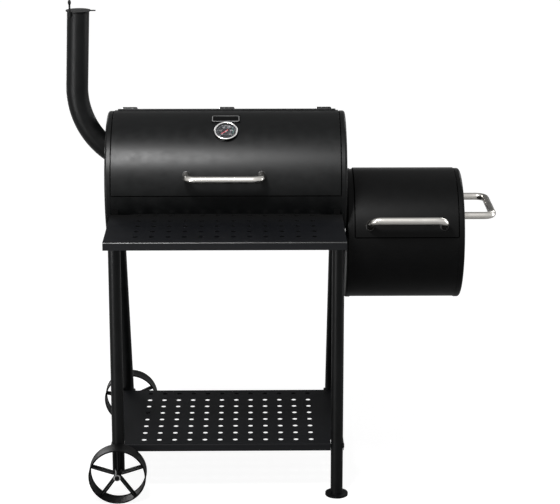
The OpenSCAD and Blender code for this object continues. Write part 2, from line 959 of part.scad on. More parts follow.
// Bare plate bent to the lid
module name_plate() {
    half_deg = arc_deg(plate_h / 2, lid_out_r);
    color(black)
        placed()
            arc_panel(lid_out_r, lid_out_r + plate_t, -plate_w / 2, plate_w / 2,
                plate_deg - half_deg, plate_deg + half_deg, drum_z);
}

// ---- Chimney and damper ----

// Leaning pipe and its bend as a solid of a given radius, past the rim and the end cap
module chimney_core(r) {
    over_deg = 6;
    translate([pipe_x, 0, pipe_bend_z])
        rotate([0, pipe_lean, 0])
            cylinder(r = r, h = far);
    translate([pipe_x + pipe_bend_r * cos(pipe_lean), 0,
            pipe_bend_z - pipe_bend_r * sin(pipe_lean)])
        rotate([90, 0, 0])
            rotate([0, 0, 180 - pipe_lean])
                rotate_extrude(angle = pipe_lean + pipe_bend_deg + over_deg, $fn = 120)
                    translate([pipe_bend_r, 0])
                        circle(r = r);
}

module chimney_pipe() {
    color(black)
        placed()
            difference() {
                union() {
                    intersection() {
                        chimney_core(pipe_r);
                        slab(0, pipe_top_z);
                    }
                    translate([pivot_x, pivot_y, pipe_top_z - lug_h])
                        cylinder(r = lug_r, h = lug_h);
                }
                chimney_core(pipe_r - pipe_wall);
                translate([-drum_end + pipe_inside, -far / 2, 0])
                    cube([far, far, far]);
                translate([pivot_x, pivot_y, pipe_top_z - lug_h - past])
                    cylinder(r = pivot_r, h = lug_h + 2 * past);
            }
}

// Flat collar round the pipe on the left end cap
module chimney_flange() {
    color(black)
        placed()
            difference() {
                translate([-drum_end, 0, drum_z + pipe_entry_rise])
                    rotate([0, -90, 0])
                        cylinder(r = pipe_r / cos(90 - pipe_bend_deg) + pipe_flange_w,
                            h = pipe_flange_t);
                chimney_core(pipe_r);
            }
}

// Damper: a disc with a pivot ear and a finger tab
module chimney_damper() {
    color(black)
        placed()
            translate([0, 0, damper_z0])
                linear_extrude(damper_t)
                    difference() {
                        union() {
                            translate([pipe_top_x, 0])
                                circle(r = damper_r);
                            translate([pivot_x, pivot_y])
                                circle(r = lug_r);
                            translate([pipe_top_x, -tab_w / 2])
                                square([tab_reach - tab_w / 2, tab_w]);
                            translate([pipe_top_x + tab_reach - tab_w / 2, 0])
                                circle(r = tab_w / 2);
                        }
                        translate([pivot_x, pivot_y])
                            circle(r = pivot_r + pin_clear);
                    }
}

module damper_screw() {
    head_r = pivot_r + 0.5;
    head_t = 2;
    color(black)
        placed()
            translate([pivot_x, pivot_y, 0]) {
                translate([0, 0, pipe_top_z - lug_h])
                    cylinder(r = pivot_r, h = knob_z + knob_h / 2 - pipe_top_z + lug_h);
                translate([0, 0, pipe_top_z - lug_h - head_t])
                    cylinder(r = head_r, h = head_t);
            }
}

// Barrel-shaped knob on top of the screw
module damper_knob() {
    end_r = 0.6 * knob_r;
    round_r = knob_r - end_r;
    color(black)
        placed()
            translate([pivot_x, pivot_y, knob_z])
                difference() {
                    rotate_extrude() {
                        square([end_r, knob_h]);
                        translate([0, round_r])
                            square([knob_r, knob_h - 2 * round_r]);
                        for (z = [round_r, knob_h - round_r])
                            translate([end_r, z])
                                circle(r = round_r);
                    }
                    translate([0, 0, -past])
                        cylinder(r = pivot_r, h = knob_h / 2 + past);
                }
}

// ---- Air vent ----

vent_z = fire_z - vent_drop;
vent_x0 = fire_x1 + vent_clear;
vent_x1 = vent_x0 + vent_t;

// Three air holes round the rivet
module vent_holes(x0, x1) {
    for (i = [0:2])
        x_rod(vent_hole_r, x0, x1, vent_z + vent_ring_r * cos(120 * i),
            vent_ring_r * sin(120 * i));
}

// Turning plate with the same three holes and a finger tab at its lower edge
module vent_plate() {
    tab_h = 12;
    color(black)
        placed()
            difference() {
                union() {
                    x_rod(vent_r, vent_x0, vent_x1, vent_z);
                    translate([vent_x0, -vent_t / 2, vent_z - vent_r + past])
                        cube([vent_t + vent_tab_reach, vent_t, tab_h]);
                }
                vent_holes(vent_x0 - past, vent_x1 + past);
                x_rod(rivet_r + pin_clear, vent_x0 - past, vent_x1 + past, vent_z);
            }
}

module vent_rivet() {
    head_t = 3;
    color(zinc)
        placed() {
            x_rod(rivet_r, fire_x1 - cap_sheet - head_t, vent_x1 + vent_clear + head_t, vent_z);
            x_rod(2 * rivet_r, fire_x1 - cap_sheet - head_t, fire_x1 - cap_sheet, vent_z);
            x_rod(2 * rivet_r, vent_x1 + vent_clear, vent_x1 + vent_clear + head_t, vent_z);
        }
}

// ---- Grates ----

// Wire grate: a frame of thick wire with round corners, and thin bars that lie on
// it from front to back, sunk a little into it as welds are
module wire_grate(x0, x1, half_y, z, pitch) {
    $fn = 24;
    r = frame_wire_r;
    weld = 1;
    mid = (x0 + x1) / 2;
    half_x = (x1 - x0) / 2 - r;
    bars = floor(2 * half_x / pitch);
    for (i = [-1, 1]) {
        x_rod(r, mid - half_x + wire_corner_r, mid + half_x - wire_corner_r, z, i * half_y);
        y_rod(r, wire_corner_r - half_y, half_y - wire_corner_r, mid + i * half_x, z);
    }
    for (i = [0:3]) {
        sx = (i == 0 || i == 3) ? 1 : -1;
        sy = i < 2 ? 1 : -1;
        translate([mid + sx * (half_x - wire_corner_r), sy * (half_y - wire_corner_r), z])
            rotate([0, 0, 90 * i])
                rotate_extrude(angle = 90)
                    translate([wire_corner_r, 0])
                        circle(r = r);
    }
    for (i = [0:bars - 1])
        y_rod(bar_r, weld - half_y - r, half_y + r - weld, mid + (i - (bars - 1) / 2) * pitch,
            z + r + bar_r - weld);
}

// Ledge along one wall of a drum: a flange on the skin and a shelf inwards
module grate_ledge(r, x0, x1, z, top_z, side) {
    in_r = r - sheet;
    drop = z - top_z;
    rear = side > 0;
    top_deg = asin(drop / in_r);
    low_deg = asin((drop + ledge_w) / in_r);
    edge_y = chord(in_r, drop + ledge_t);
    arc_panel(in_r - ledge_t, in_r, x0, x1, rear ? 180 + top_deg : -low_deg,
        rear ? 180 + low_deg : -top_deg, z);
    translate([x0, rear ? edge_y - ledge_w : -edge_y, top_z - ledge_t])
        cube([x1 - x0, ledge_w, ledge_t]);
}

grate_top_z = drum_z - grate_drop;
grate_half_y = chord(drum_r - sheet, grate_drop) - ledge_t - grate_gap - frame_wire_r;
coal_top_z = fire_z - coal_drop;
coal_half_y = chord(fire_r - sheet, coal_drop) - ledge_t - grate_gap - frame_wire_r;
grate_x1 = drum_end - cap_flange - grate_gap;

module left_cooking_grate() {
    color(steel)
        placed()
            wire_grate(-grate_x1, -grate_gap / 2, grate_half_y, grate_top_z + frame_wire_r,
                bar_pitch);
}

module right_cooking_grate() {
    color(steel)
        placed()
            wire_grate(grate_gap / 2, grate_x1, grate_half_y, grate_top_z + frame_wire_r,
                bar_pitch);
}

module cooking_grate_ledges() {
    color(black)
        placed()
            for (side = [-1, 1])
                grate_ledge(drum_r, -grate_x1, grate_x1, drum_z, grate_top_z, side);
}

module charcoal_grate() {
    color(steel)
        placed()
            wire_grate(fire_x0 + cap_flange + grate_gap, fire_x1 - cap_flange - grate_gap,
                coal_half_y, coal_top_z + frame_wire_r, coal_bar_pitch);
}

module charcoal_grate_ledges() {
    color(black)
        placed()
            for (side = [-1, 1])
                grate_ledge(fire_r, fire_x0 + cap_flange, fire_x1 - cap_flange, fire_z,
                    coal_top_z, side);
}

// ---- Legs ----

// Local frame along a leg: the origin is on the floor and Z runs up the leg
module along_leg(side, foot_y, top_y, top_z) {
    translate([side * leg_x, foot_y, 0])
        rotate([-atan2(top_y - foot_y, top_z), 0, 0])
            children();
}

module along_front(side) {
    along_leg(side, -front_foot_out, -front_top_out, leg_top_z)
        children();
}

module along_rear(side) {
    along_leg(side, rear_foot_out, rear_top_out, rear_top_z)
        children();
}

// Slanted rod that runs well past both ends of a leg
module leg_line(r) {
    translate([0, 0, -far / 4])
        cylinder(r = r, h = far);
}

// Everything between two heights
module slab(z0, z1) {
    translate([-far, -far, z0])
        cube([2 * far, 2 * far, z1 - z0]);
}

// Where the bracket's two bolts cross each leg, and the rear brackets' seat on the caps
front_bolt_z = [for (i = [0, 1]) leg_top_z - bracket_bolt_drop - i * bracket_bolt_pitch];
rear_seat_r = drum_r + cap_sheet;
rear_bolt_z = [
    for (i = [0, 1]) drum_z - rear_seat_r - bracket_t - bracket_bolt_drop
        - i * bracket_bolt_pitch
];

module front_leg_holes(side) {
    for (z = concat([shelf_bolt_z], front_bolt_z))
        x_rod(bolt_r, side * leg_x - 2 * leg_r, side * leg_x + 2 * leg_r, z, front_leg_y(z));
}

module rear_leg_holes(side) {
    x_rod(bolt_r, side * leg_x - 2 * leg_r, side * leg_x + 2 * leg_r, shelf_bolt_z,
        rear_leg_y(shelf_bolt_z));
    for (z = rear_bolt_z)
        x_rod(bolt_r, min(0, side) * 2 * leg_r + side * leg_x,
            max(0, side) * 2 * leg_r + side * leg_x, z, rear_leg_y(z));
}

module front_leg(side, z0) {
    color(black)
        placed()
            difference() {
                intersection() {
                    along_front(side)
                        leg_line(leg_r);
                    slab(z0, leg_top_z);
                }
                along_front(side)
                    leg_line(leg_r - leg_wall);
                front_leg_holes(side);
                if (side < 0)
                    y_rod(axle_r, -far, far, -leg_x, axle_z);
            }
}

module rear_leg(side, z0) {
    leg_top_gap = 0.5;
    color(black)
        placed()
            difference() {
                intersection() {
                    along_rear(side)
                        leg_line(leg_r);
                    slab(z0, drum_z);
                }
                along_rear(side)
                    leg_line(leg_r - leg_wall);
                x_rod(rear_seat_r + bracket_t + leg_top_gap, -far, far, drum_z, $fn = 180);
                rear_leg_holes(side);
                if (side < 0)
                    y_rod(axle_r, -far, far, -leg_x, axle_z);
            }
}

module front_left_leg() {
    front_leg(-1, left_leg_end_z);
}

module front_right_leg() {
    front_leg(1, foot_t);
}

module rear_left_leg() {
    rear_leg(-1, left_leg_end_z);
}

module rear_right_leg() {
    rear_leg(1, foot_t);
}

// Foot disc with a plug up the leg's tube
module foot(foot_y) {
    translate([leg_x, foot_y, 0])
        cylinder(r = foot_r, h = foot_t);
    intersection() {
        children();
        slab(foot_t / 2, foot_t + foot_plug);
    }
}

module front_foot() {
    color(black)
        placed()
            foot(-front_foot_out)
                along_front(1)
                    leg_line(leg_r - leg_wall - plug_gap);
}

module rear_foot() {
    color(black)
        placed()
            foot(rear_foot_out)
                along_rear(1)
                    leg_line(leg_r - leg_wall - plug_gap);
}

// ---- Leg brackets ----

// The webs lie on the front legs' inner sides and on the rear legs' outer sides
front_web_x = leg_x - leg_r - bracket_t;
rear_web_x = leg_x + leg_r;
web_margin = 13;

// How far a flange on the drum runs past its web
flange_past = 4;

// A plate across X from an outline in Y and Z, cut off inside its flange on the drum
module web(side, x0, seat_r) {
    translate([side > 0 ? x0 : -x0 - bracket_t, 0, 0])
        rotate([90, 0, 90])
            linear_extrude(bracket_t)
                difference() {
                    children();
                    translate([0, drum_z])
                        circle(r = seat_r + bracket_t / 2, $fn = 180);
                }
}

// Flange round the drum between two angles, inwards from its web's outer face
module drum_flange(side, web_x, seat_r, a0, a1) {
    x1 = web_x + bracket_t;
    x0 = side > 0 ? x1 - bracket_w : -x1;
    arc_panel(seat_r, seat_r + bracket_t, x0, x0 + bracket_w, a0, a1, drum_z);
}

// Bracket from the drum to a front leg, which also carries the shelf's rear
module front_bracket(side) {
    top_z = shelf_z - shelf_sheet;
    low_z = front_bolt_z[1] - web_margin;
    front_y = front_leg_y(leg_top_z) - web_margin;
    rear_y = -chord(drum_r, drum_z - low_z) + web_margin;
    seat_x1 = front_web_x + bracket_t;
    seat_x0 = side > 0 ? seat_x1 - bracket_w : -seat_x1;
    seat_y1 = -chord(drum_r + bracket_t, drum_z - top_z);
    difference() {
        union() {
            web(side, front_web_x, drum_r)
                polygon([
                    [front_y, top_z],
                    [-chord(drum_r, drum_z - top_z) + web_margin, top_z],
                    [rear_y, low_z],
                    [front_leg_y(low_z) - web_margin, low_z]
                ]);
            drum_flange(side, front_web_x, drum_r,
                -asin((drum_z - low_z) / drum_r) - arc_deg(flange_past, drum_r),
                -asin((drum_z - top_z + bracket_t) / drum_r));
            translate([seat_x0, front_y, top_z - bracket_t])
                cube([bracket_w, seat_y1 - front_y, bracket_t]);
        }
        front_leg_holes(side);
    }
}

// Bracket from the drum's underside to a rear leg
module rear_bracket(side) {
    low_z = rear_bolt_z[1] - web_margin;
    top_y = rear_leg_y(rear_top_z);
    low_y = rear_leg_y(low_z);
    half_w = 30;
    up = 12;
    difference() {
        union() {
            web(side, rear_web_x, rear_seat_r)
                polygon([
                    [top_y - half_w, rear_top_z + up],
                    [top_y + half_w, rear_top_z + up],
                    [low_y + web_margin, low_z],
                    [low_y - web_margin, low_z]
                ]);
            drum_flange(side, rear_web_x, rear_seat_r,
                -90 - arc_deg(top_y + half_w + flange_past, drum_r),
                -90 - arc_deg(top_y - half_w - flange_past, drum_r));
        }
        rear_leg_holes(side);
    }
}

module front_leg_brackets() {
    color(black)
        placed()
            for (side = [-1, 1])
                front_bracket(side);
}

module rear_leg_brackets() {
    color(black)
        placed()
            for (side = [-1, 1])
                rear_bracket(side);
}

// Screw along X with a flat round head outside a leg and a hexagon nut further in
module leg_bolt(side, y, z, x_out, x_in) {
    head_r = 2 * bolt_r;
    nut_x = side > 0 ? x_in - bolt_head_t : -x_in;
    head_x = side > 0 ? x_out : -x_out - flat_head_t;
    x_rod(bolt_r, side > 0 ? nut_x : head_x + flat_head_t / 2,
        side > 0 ? head_x + flat_head_t / 2 : nut_x + bolt_head_t, z, y);
    x_rod(head_r, nut_x, nut_x + bolt_head_t, z, y, $fn = 6);
    x_rod(head_r, head_x, head_x + flat_head_t, z, y);
}

// The rear brackets' nuts are rivet nuts inside the tubes
module bracket_bolts() {
    rear_nut_x = leg_x + chord(leg_r - leg_wall, 2 * bolt_r) - notch_gap;
    color(zinc)
        placed()
            for (side = [-1, 1]) {
                for (z = front_bolt_z)
                    leg_bolt(side, front_leg_y(z), z, leg_x + leg_r, front_web_x);
                for (z = rear_bolt_z)
                    leg_bolt(side, rear_leg_y(z), z, rear_web_x + bracket_t, rear_nut_x);
            }
}

// ---- Shelves ----

// Outline of a shelf across its depth: the top and one or two lips with round bends
module pan_profile(y0, y1, z, rear_lip) {
    r = shelf_bend_r;
    t = shelf_sheet;
    top_y1 = rear_lip ? y1 - r : y1;
    translate([y0 + r, z - t])
        square([top_y1 - y0 - r, t]);
    for (i = [0:rear_lip ? 1 : 0]) {
        lip_y = i == 0 ? y0 : y1 - t;
        bend_y = i == 0 ? y0 + r : y1 - r;
        translate([lip_y, z - lip_h])
            square([t, lip_h - r]);
        translate([bend_y, z - r])
            intersection() {
                difference() {
                    circle(r = r);
                    circle(r = r - t);
                }
                translate([i == 0 ? -r : 0, 0])
                    square(r);
            }
    }
}

// Perforated pan with lips at its front, its sides and, if asked for, its rear
module pan(half_x, y0, y1, z, rows, row_inset, rear_lip) {
    first_x = -(hole_cols - 1) * hole_pitch_x / 2;
    side_y0 = y0 + shelf_bend_r;
    side_y1 = rear_lip ? y1 - shelf_bend_r : y1;
    difference() {
        union() {
            translate([-half_x, 0, 0])
                rotate([90, 0, 90])
                    linear_extrude(2 * half_x)
                        pan_profile(y0, y1, z, rear_lip);
            for (side = [-1, 1])
                translate([side > 0 ? half_x - shelf_sheet : -half_x, side_y0, z - lip_h])
                    cube([shelf_sheet, side_y1 - side_y0, lip_h]);
        }
        for (i = [0:hole_cols - 1], j = [0:rows - 1])
            translate([first_x + i * hole_pitch_x, y0 + row_inset + j * hole_pitch_y,
                    z - lip_h / 2])
                cylinder(r = hole_r, h = lip_h, $fn = 32);
    }
}

// Two ears on the rear edge stand against the drum just inside its end caps
module front_shelf() {
    ear_low = 5;
    ear_high = 14;
    ear_inset = 4;
    ear_y = -chord(drum_r, drum_z - shelf_z - ear_high) - ear_t;
    ear_x1 = drum_end - cap_flange - ear_inset;
    color(shelf_black)
        placed() {
            pan(shelf_w / 2, shelf_y0, shelf_y1, shelf_z, shelf_rows, shelf_row_inset, false);
            difference() {
                for (side = [-1, 1])
                    translate([side > 0 ? ear_x1 - ear_w : -ear_x1, ear_y,
                            shelf_z - ear_low])
                        cube([ear_w, ear_w / 2, ear_low + ear_high]);
                x_rod(drum_r, -drum_end, drum_end, drum_z, $fn = 180);
            }
        }
}

// The front legs stand in notches, and the rear ends of the side lips run on to the
// rear legs as round ears
module bottom_shelf() {
    bolt_y = rear_leg_y(shelf_bolt_z);
    notch_r = leg_r + notch_gap;
    notch_y1 = front_leg_y(low_shelf_z) + leg_r + notch_gap;
    color(shelf_black)
        placed()
            difference() {
                union() {
                    pan(low_shelf_x, low_shelf_y0, low_shelf_y1, low_shelf_z,
                        low_shelf_rows, low_row_inset, true);
                    for (side = [-1, 1]) {
                        x0 = side > 0 ? low_shelf_x - shelf_sheet : -low_shelf_x;
                        translate([x0, low_shelf_y1 - 2 * shelf_bend_r, low_shelf_z - lip_h])
                            cube([shelf_sheet, bolt_y - low_shelf_y1 + 2 * shelf_bend_r,
                                lip_h]);
                        x_rod(lip_h / 2, x0, x0 + shelf_sheet, shelf_bolt_z, bolt_y);
                    }
                }
                for (side = [-1, 1], y = [front_leg_y(shelf_bolt_z), bolt_y])
                    x_rod(bolt_r, side * low_shelf_x - 2 * bolt_r,
                        side * low_shelf_x + 2 * bolt_r, shelf_bolt_z, y);
                for (side = [-1, 1])
                    translate([side * leg_x - notch_r, low_shelf_y0 - past,
                            low_shelf_z - lip_h - past])
                        cube([2 * notch_r, notch_y1 - low_shelf_y0 + past,
                            lip_h + 2 * past]);
            }
}

module shelf_bolts() {
    color(zinc)
        placed()
            for (side = [-1, 1], y = [front_leg_y(shelf_bolt_z), rear_leg_y(shelf_bolt_z)])
                leg_bolt(side, y, shelf_bolt_z, low_shelf_x, leg_x - leg_r);
}

// ---- Wheels ----

// Rim and spokes, with a seat for the hub
module wheel(y) {
    difference() {
        union() {
            difference() {
                y_rod(wheel_r, y - rim_w / 2, y + rim_w / 2, -leg_x, axle_z, $fn = 120);
                y_rod(wheel_r - rim_t, y - rim_w, y + rim_w, -leg_x, axle_z, $fn = 120);
            }
            for (i = [0:spokes - 1])
                translate([-leg_x, y, axle_z])
                    rotate([0, i * 360 / spokes, 0])
                        cylinder(r = spoke_r, h = wheel_r - rim_t / 2);
        }
        y_rod(hub_r, y - rim_w, y + rim_w, -leg_x, axle_z);
    }
}

// Hub tube between two distances along Y
module hub(y0, y1) {
    difference() {
        y_rod(hub_r, y0, y1, -leg_x, axle_z);
        y_rod(axle_r + axle_clear, y0 - past, y1 + past, -leg_x, axle_z);
    }
}

module front_wheel() {
    color(black)
        placed()
            wheel(-front_wheel_out);
}

module front_wheel_hub() {
    color(black)
        placed()
            hub(-front_wheel_out - hub_out, -front_wheel_out + hub_in);
}

module rear_wheel() {
    color(black)
        placed()
            wheel(rear_wheel_out);
}

module rear_wheel_hub() {
    color(black)
        placed()
            hub(rear_wheel_out - hub_in, rear_wheel_out + hub_out);
}

// Outer faces of the washers
washer_front = front_wheel_out + hub_out + hub_gap + washer_t;
washer_rear = rear_wheel_out + hub_out + hub_gap + washer_t;

module wheel_axle() {
    color(zinc)
        placed()
            y_rod(axle_r, -washer_front - axle_cap_h / 2, washer_rear + axle_cap_h / 2,
                -leg_x, axle_z);
}

// Sleeves that keep the wheels off the legs, shaped to the legs
module axle_sleeves() {
    color(black)
        placed() {
            difference() {
                y_rod(hub_r, -front_wheel_out + hub_in + hub_gap, front_leg_y(axle_z), -leg_x,
                    axle_z);
                along_front(-1)
                    leg_line(leg_r);
                y_rod(axle_r, -far, far, -leg_x, axle_z);
            }
            difference() {
                y_rod(hub_r, rear_leg_y(axle_z), rear_wheel_out - hub_in - hub_gap, -leg_x,
                    axle_z);
                along_rear(-1)
                    leg_line(leg_r);
                y_rod(axle_r, -far, far, -leg_x, axle_z);
            }
        }
}

module axle_washers() {
    color(steel)
        placed()
            difference() {
                for (y0 = [-washer_front, washer_rear - washer_t])
                    y_rod(hub_r - 0.5, y0, y0 + washer_t, -leg_x, axle_z);
                y_rod(axle_r, -far, far, -leg_x, axle_z);
            }
}

// Domed push caps on the axle's ends
module axle_caps() {
    cap_r = axle_r + 1.2;
    color(black)
        placed()
            difference() {
                for (side = [-1, 1])
                    translate([-leg_x, side < 0 ? -washer_front : washer_rear, axle_z])
                        rotate([-90 * side, 0, 0])
                            rotate_extrude() {
                                square([cap_r, axle_cap_h - 1]);
                                square([cap_r - 1, axle_cap_h]);
                                translate([cap_r - 1, axle_cap_h - 1])
                                    circle(r = 1);
                            }
                y_rod(axle_r, -washer_front - axle_cap_h / 2, washer_rear + axle_cap_h / 2,
                    -leg_x, axle_z);
            }
}

drum_shell();
drum_left_cap();
drum_right_cap();
chimney_pipe();
chimney_flange();
damper_screw();
damper_knob();
firebox_shell();
firebox_left_cap();
firebox_right_cap();
side_handle();
side_handle_screws();
left_cooking_grate();
right_cooking_grate();
cooking_grate_ledges();
charcoal_grate();
charcoal_grate_ledges();
front_left_leg();
front_right_leg();
rear_left_leg();
rear_right_leg();
front_foot();
rear_foot();
front_leg_brackets();
rear_leg_brackets();
bracket_bolts();
front_shelf();
bottom_shelf();
shelf_bolts();
wheel_axle();
axle_sleeves();
axle_washers();
axle_caps();
lid_hinge_bases();
lid_hinge_pins();
firebox_hinge_bases();
firebox_hinge_pins();
throat_bolts();
vent_rivet();
drum_lid();
lid_handle();
lid_handle_screws();
name_plate();
thermometer_case();
thermometer_dial();
thermometer_glass();
lid_hinge_leaves();
thermometer_pointer();
firebox_lid();
firebox_lid_handle();
firebox_lid_handle_screws();
firebox_lid_hinge_leaves();
chimney_damper();
vent_plate();
front_wheel();
front_wheel_hub();
rear_wheel();
rear_wheel_hub();
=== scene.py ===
"""Looks of the offset smoker: the finishes of its parts and the fine pieces on them.

Everything is in metres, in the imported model's own frame: X runs along the drum from
the chimney to the firebox, Y from the lids' handles to the rear, and Z up.
"""

import json
import math

import bmesh
import bpy
import numpy as np
from mathutils import Matrix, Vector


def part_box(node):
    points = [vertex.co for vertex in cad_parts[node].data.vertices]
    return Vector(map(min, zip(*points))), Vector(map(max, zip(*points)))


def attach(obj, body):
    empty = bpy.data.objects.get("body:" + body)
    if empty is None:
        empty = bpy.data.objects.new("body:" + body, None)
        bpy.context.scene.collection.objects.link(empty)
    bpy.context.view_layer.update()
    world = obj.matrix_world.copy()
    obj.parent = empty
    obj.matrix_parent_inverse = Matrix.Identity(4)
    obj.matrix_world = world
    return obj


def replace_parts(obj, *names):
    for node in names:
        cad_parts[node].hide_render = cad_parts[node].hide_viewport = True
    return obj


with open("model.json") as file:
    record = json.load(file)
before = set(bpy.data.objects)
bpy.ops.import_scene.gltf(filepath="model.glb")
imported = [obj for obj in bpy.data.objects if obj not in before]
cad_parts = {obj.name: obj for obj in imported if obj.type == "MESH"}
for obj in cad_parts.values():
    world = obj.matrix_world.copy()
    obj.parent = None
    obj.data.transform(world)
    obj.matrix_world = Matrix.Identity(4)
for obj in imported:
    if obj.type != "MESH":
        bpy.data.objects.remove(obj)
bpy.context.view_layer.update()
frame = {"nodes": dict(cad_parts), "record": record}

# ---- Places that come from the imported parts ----


def middle(node, axis):
    """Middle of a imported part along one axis."""
    lo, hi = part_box(node)
    return (lo[axis] + hi[axis]) / 2


def end(node, axis, side):
    """Lowest (side 0) or highest (side 1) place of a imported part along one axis."""
    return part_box(node)[side][axis]


def frame_joint(name):
    """Point on a joint's axis."""
    return next(j["pos_m"] for j in frame["record"]["behaviour"]["joints"]
                if j["name"] == name)


AXIS_Y = middle("drum_shell", 1)
DRUM_Z = middle("drum_shell", 2)
DRUM_R = (end("drum_shell", 2, 1) - end("drum_shell", 2, 0)) / 2
DRUM_X = middle("drum_shell", 0)
FIRE_Z = middle("firebox_shell", 2)
FIRE_R = (end("firebox_shell", 2, 1) - end("firebox_shell", 2, 0)) / 2
FIRE_X0, FIRE_X1 = end("firebox_left_cap", 0, 0), end("firebox_right_cap", 0, 1)
LID_X0, LID_X1 = end("drum_lid", 0, 0), end("drum_lid", 0, 1)
FIRE_LID_X0, FIRE_LID_X1 = end("firebox_lid", 0, 0), end("firebox_lid", 0, 1)
FIRE_LID_MID = (FIRE_LID_X0 + FIRE_LID_X1) / 2
HANDLE_X, SIDE_HANDLE_Z = middle("lid_handle", 0), middle("side_handle", 2)
SHEET = 0.002
LID_GAP = 0.0015
LID_OUT = DRUM_R + LID_GAP + SHEET
FIRE_LID_OUT = FIRE_R + LID_GAP + SHEET
SHELF_TOP, LOW_SHELF_TOP = 0.750, end("bottom_shelf", 2, 1)
BEND_R = 0.003

# Degrees round a drum's axis, counted from the front horizontal up.
LID_FROM, LID_TO = 1.5, 106.0
FIRE_LID_FROM, FIRE_LID_TO = 12.0, 124.0
STRIP_FROM, STRIP_TO = 96.2, 105.2
DIAL_DEG = 55.5
PLATE_DEG = 73.0
LID_HANDLE_DEG = 18.0
FIRE_HANDLE_DEG = 21.0
LID_LEAF_DEG, DRUM_LEAF_DEG = 100.6, 113.2
FIRE_LID_LEAF_DEG, FIRE_LEAF_DEG = 117.2, 131.8
SEAM_DEG = -118.0

# ---- Shader groups ----


def new_group(name, ins, outs):
    """An empty shader group; ins and outs are (name, socket type, default) rows."""
    tree = bpy.data.node_groups.new(name, "ShaderNodeTree")
    for direction, rows in (("INPUT", ins), ("OUTPUT", outs)):
        for label, kind, default in rows:
            socket = tree.interface.new_socket(label, in_out=direction, socket_type=kind)
            if default is not None:
                socket.default_value = default
    return tree, tree.nodes.new("NodeGroupInput"), tree.nodes.new("NodeGroupOutput")


def add(tree, kind, sources=None, **settings):
    """A node with its settings. sources gives each input a socket or a plain value."""
    node = tree.nodes.new(kind)
    for key, value in settings.items():
        setattr(node, key, value)
    for key, value in (sources or {}).items():
        if isinstance(value, bpy.types.NodeSocket):
            tree.links.new(value, node.inputs[key])
        else:
            node.inputs[key].default_value = value
    return node


def maths(tree, operation, *values):
    """Result of a Math node. values are sockets or plain numbers."""
    return add(tree, "ShaderNodeMath", dict(enumerate(values)),
               operation=operation).outputs[0]


def blend_values(tree, factor, first, second):
    """Result of a Mix node between two values, which are its inputs 2 and 3."""
    return add(tree, "ShaderNodeMix", {"Factor": factor, 2: first, 3: second},
               data_type="FLOAT").outputs[0]


def blend_colours(tree, factor, first, second):
    """Result of a Mix node between two colours, which are its inputs 6 and 7."""
    return add(tree, "ShaderNodeMix", {"Factor": factor, 6: first, 7: second},
               data_type="RGBA").outputs[2]


def noise(tree, vector, scale, detail, roughness=0.5):
    """Result of a Noise Texture node, 0 to 1."""
    return add(tree, "ShaderNodeTexNoise",
               {"Vector": vector, "Scale": scale, "Detail": detail,
                "Roughness": roughness}).outputs["Fac"]


FLOAT, VECTOR = "NodeSocketFloat", "NodeSocketVector"
FINISH_OUTPUTS = [("Height", FLOAT, None), ("Roughness", FLOAT, None),
                  ("Tone", FLOAT, None)]


def connect_finish(tree, given, out, height, wander, centre, tone):
    """Fills a finish group's outputs. The roughness is the given one plus Spread times
    how far wander is from its centre."""
    rough = maths(tree, "MULTIPLY_ADD", maths(tree, "SUBTRACT", wander, centre),
                  given.outputs["Spread"], given.outputs["Roughness"])
    for label, result in (("Height", height), ("Roughness", rough), ("Tone", tone)):
        tree.links.new(result, out.inputs[label])
    return tree


def make_coat_group():
    """Baked-on powder coat: fine grain, a shallow orange peel, broad uneven tone."""
    tree, given, out = new_group(
        "PowderCoat",
        [("Vector", VECTOR, None), ("Grain", FLOAT, 1600.0), ("Peel", FLOAT, 240.0),
         ("Unevenness", FLOAT, 9.0), ("Roughness", FLOAT, 0.42), ("Spread", FLOAT, 0.05)],
        FINISH_OUTPUTS)
    vector = given.outputs["Vector"]
    grain = noise(tree, vector, given.outputs["Grain"], 2.0, 0.6)
    peel = noise(tree, vector, given.outputs["Peel"], 1.0, 0.4)
    broad = noise(tree, vector, given.outputs["Unevenness"], 3.0, 0.55)
    height = maths(tree, "MULTIPLY_ADD", grain, 0.4, maths(tree, "MULTIPLY", peel, 0.6))
    return connect_finish(tree, given, out, height, broad, 0.5, broad)


def make_brush_group():
    """Brushed or drawn metal: long thin streaks along the first axis of the vector."""
    tree, given, out = new_group(
        "BrushedMetal",
        [("Vector", VECTOR, None), ("Along", FLOAT, 6.0), ("Across", FLOAT, 700.0),
         ("Roughness", FLOAT, 0.28), ("Spread", FLOAT, 0.12)],
        FINISH_OUTPUTS)
    scale = add(tree, "ShaderNodeCombineXYZ",
                {"X": given.outputs["Along"], "Y": given.outputs["Across"],
                 "Z": given.outputs["Across"]})
    stretched = add(tree, "ShaderNodeVectorMath",
                    {0: given.outputs["Vector"], 1: scale.outputs[0]},
                    operation="MULTIPLY")
    streaks = noise(tree, stretched.outputs[0], 1.0, 3.0, 0.7)
    smudge = noise(tree, given.outputs["Vector"], 30.0, 2.0)
    both = maths(tree, "ADD", streaks, smudge)
    return connect_finish(tree, given, out, streaks, both, 1.0, smudge)


def make_spangle_group():
    """Zinc plating: faint crystal patches with a slightly different grey and gloss."""
    tree, given, out = new_group(
        "ZincSpangle",
        [("Vector", VECTOR, None), ("Scale", FLOAT, 420.0), ("Roughness", FLOAT, 0.34),
         ("Spread", FLOAT, 0.14)],
        FINISH_OUTPUTS)
    patches = add(tree, "ShaderNodeTexVoronoi",
                  {"Vector": given.outputs["Vector"], "Scale": given.outputs["Scale"]})
    fine = noise(tree, given.outputs["Vector"], 1500.0, 2.0)
    grey = add(tree, "ShaderNodeSeparateColor",
               {"Color": patches.outputs["Color"]}).outputs[0]
    return connect_finish(tree, given, out, fine, grey, 0.5, grey)


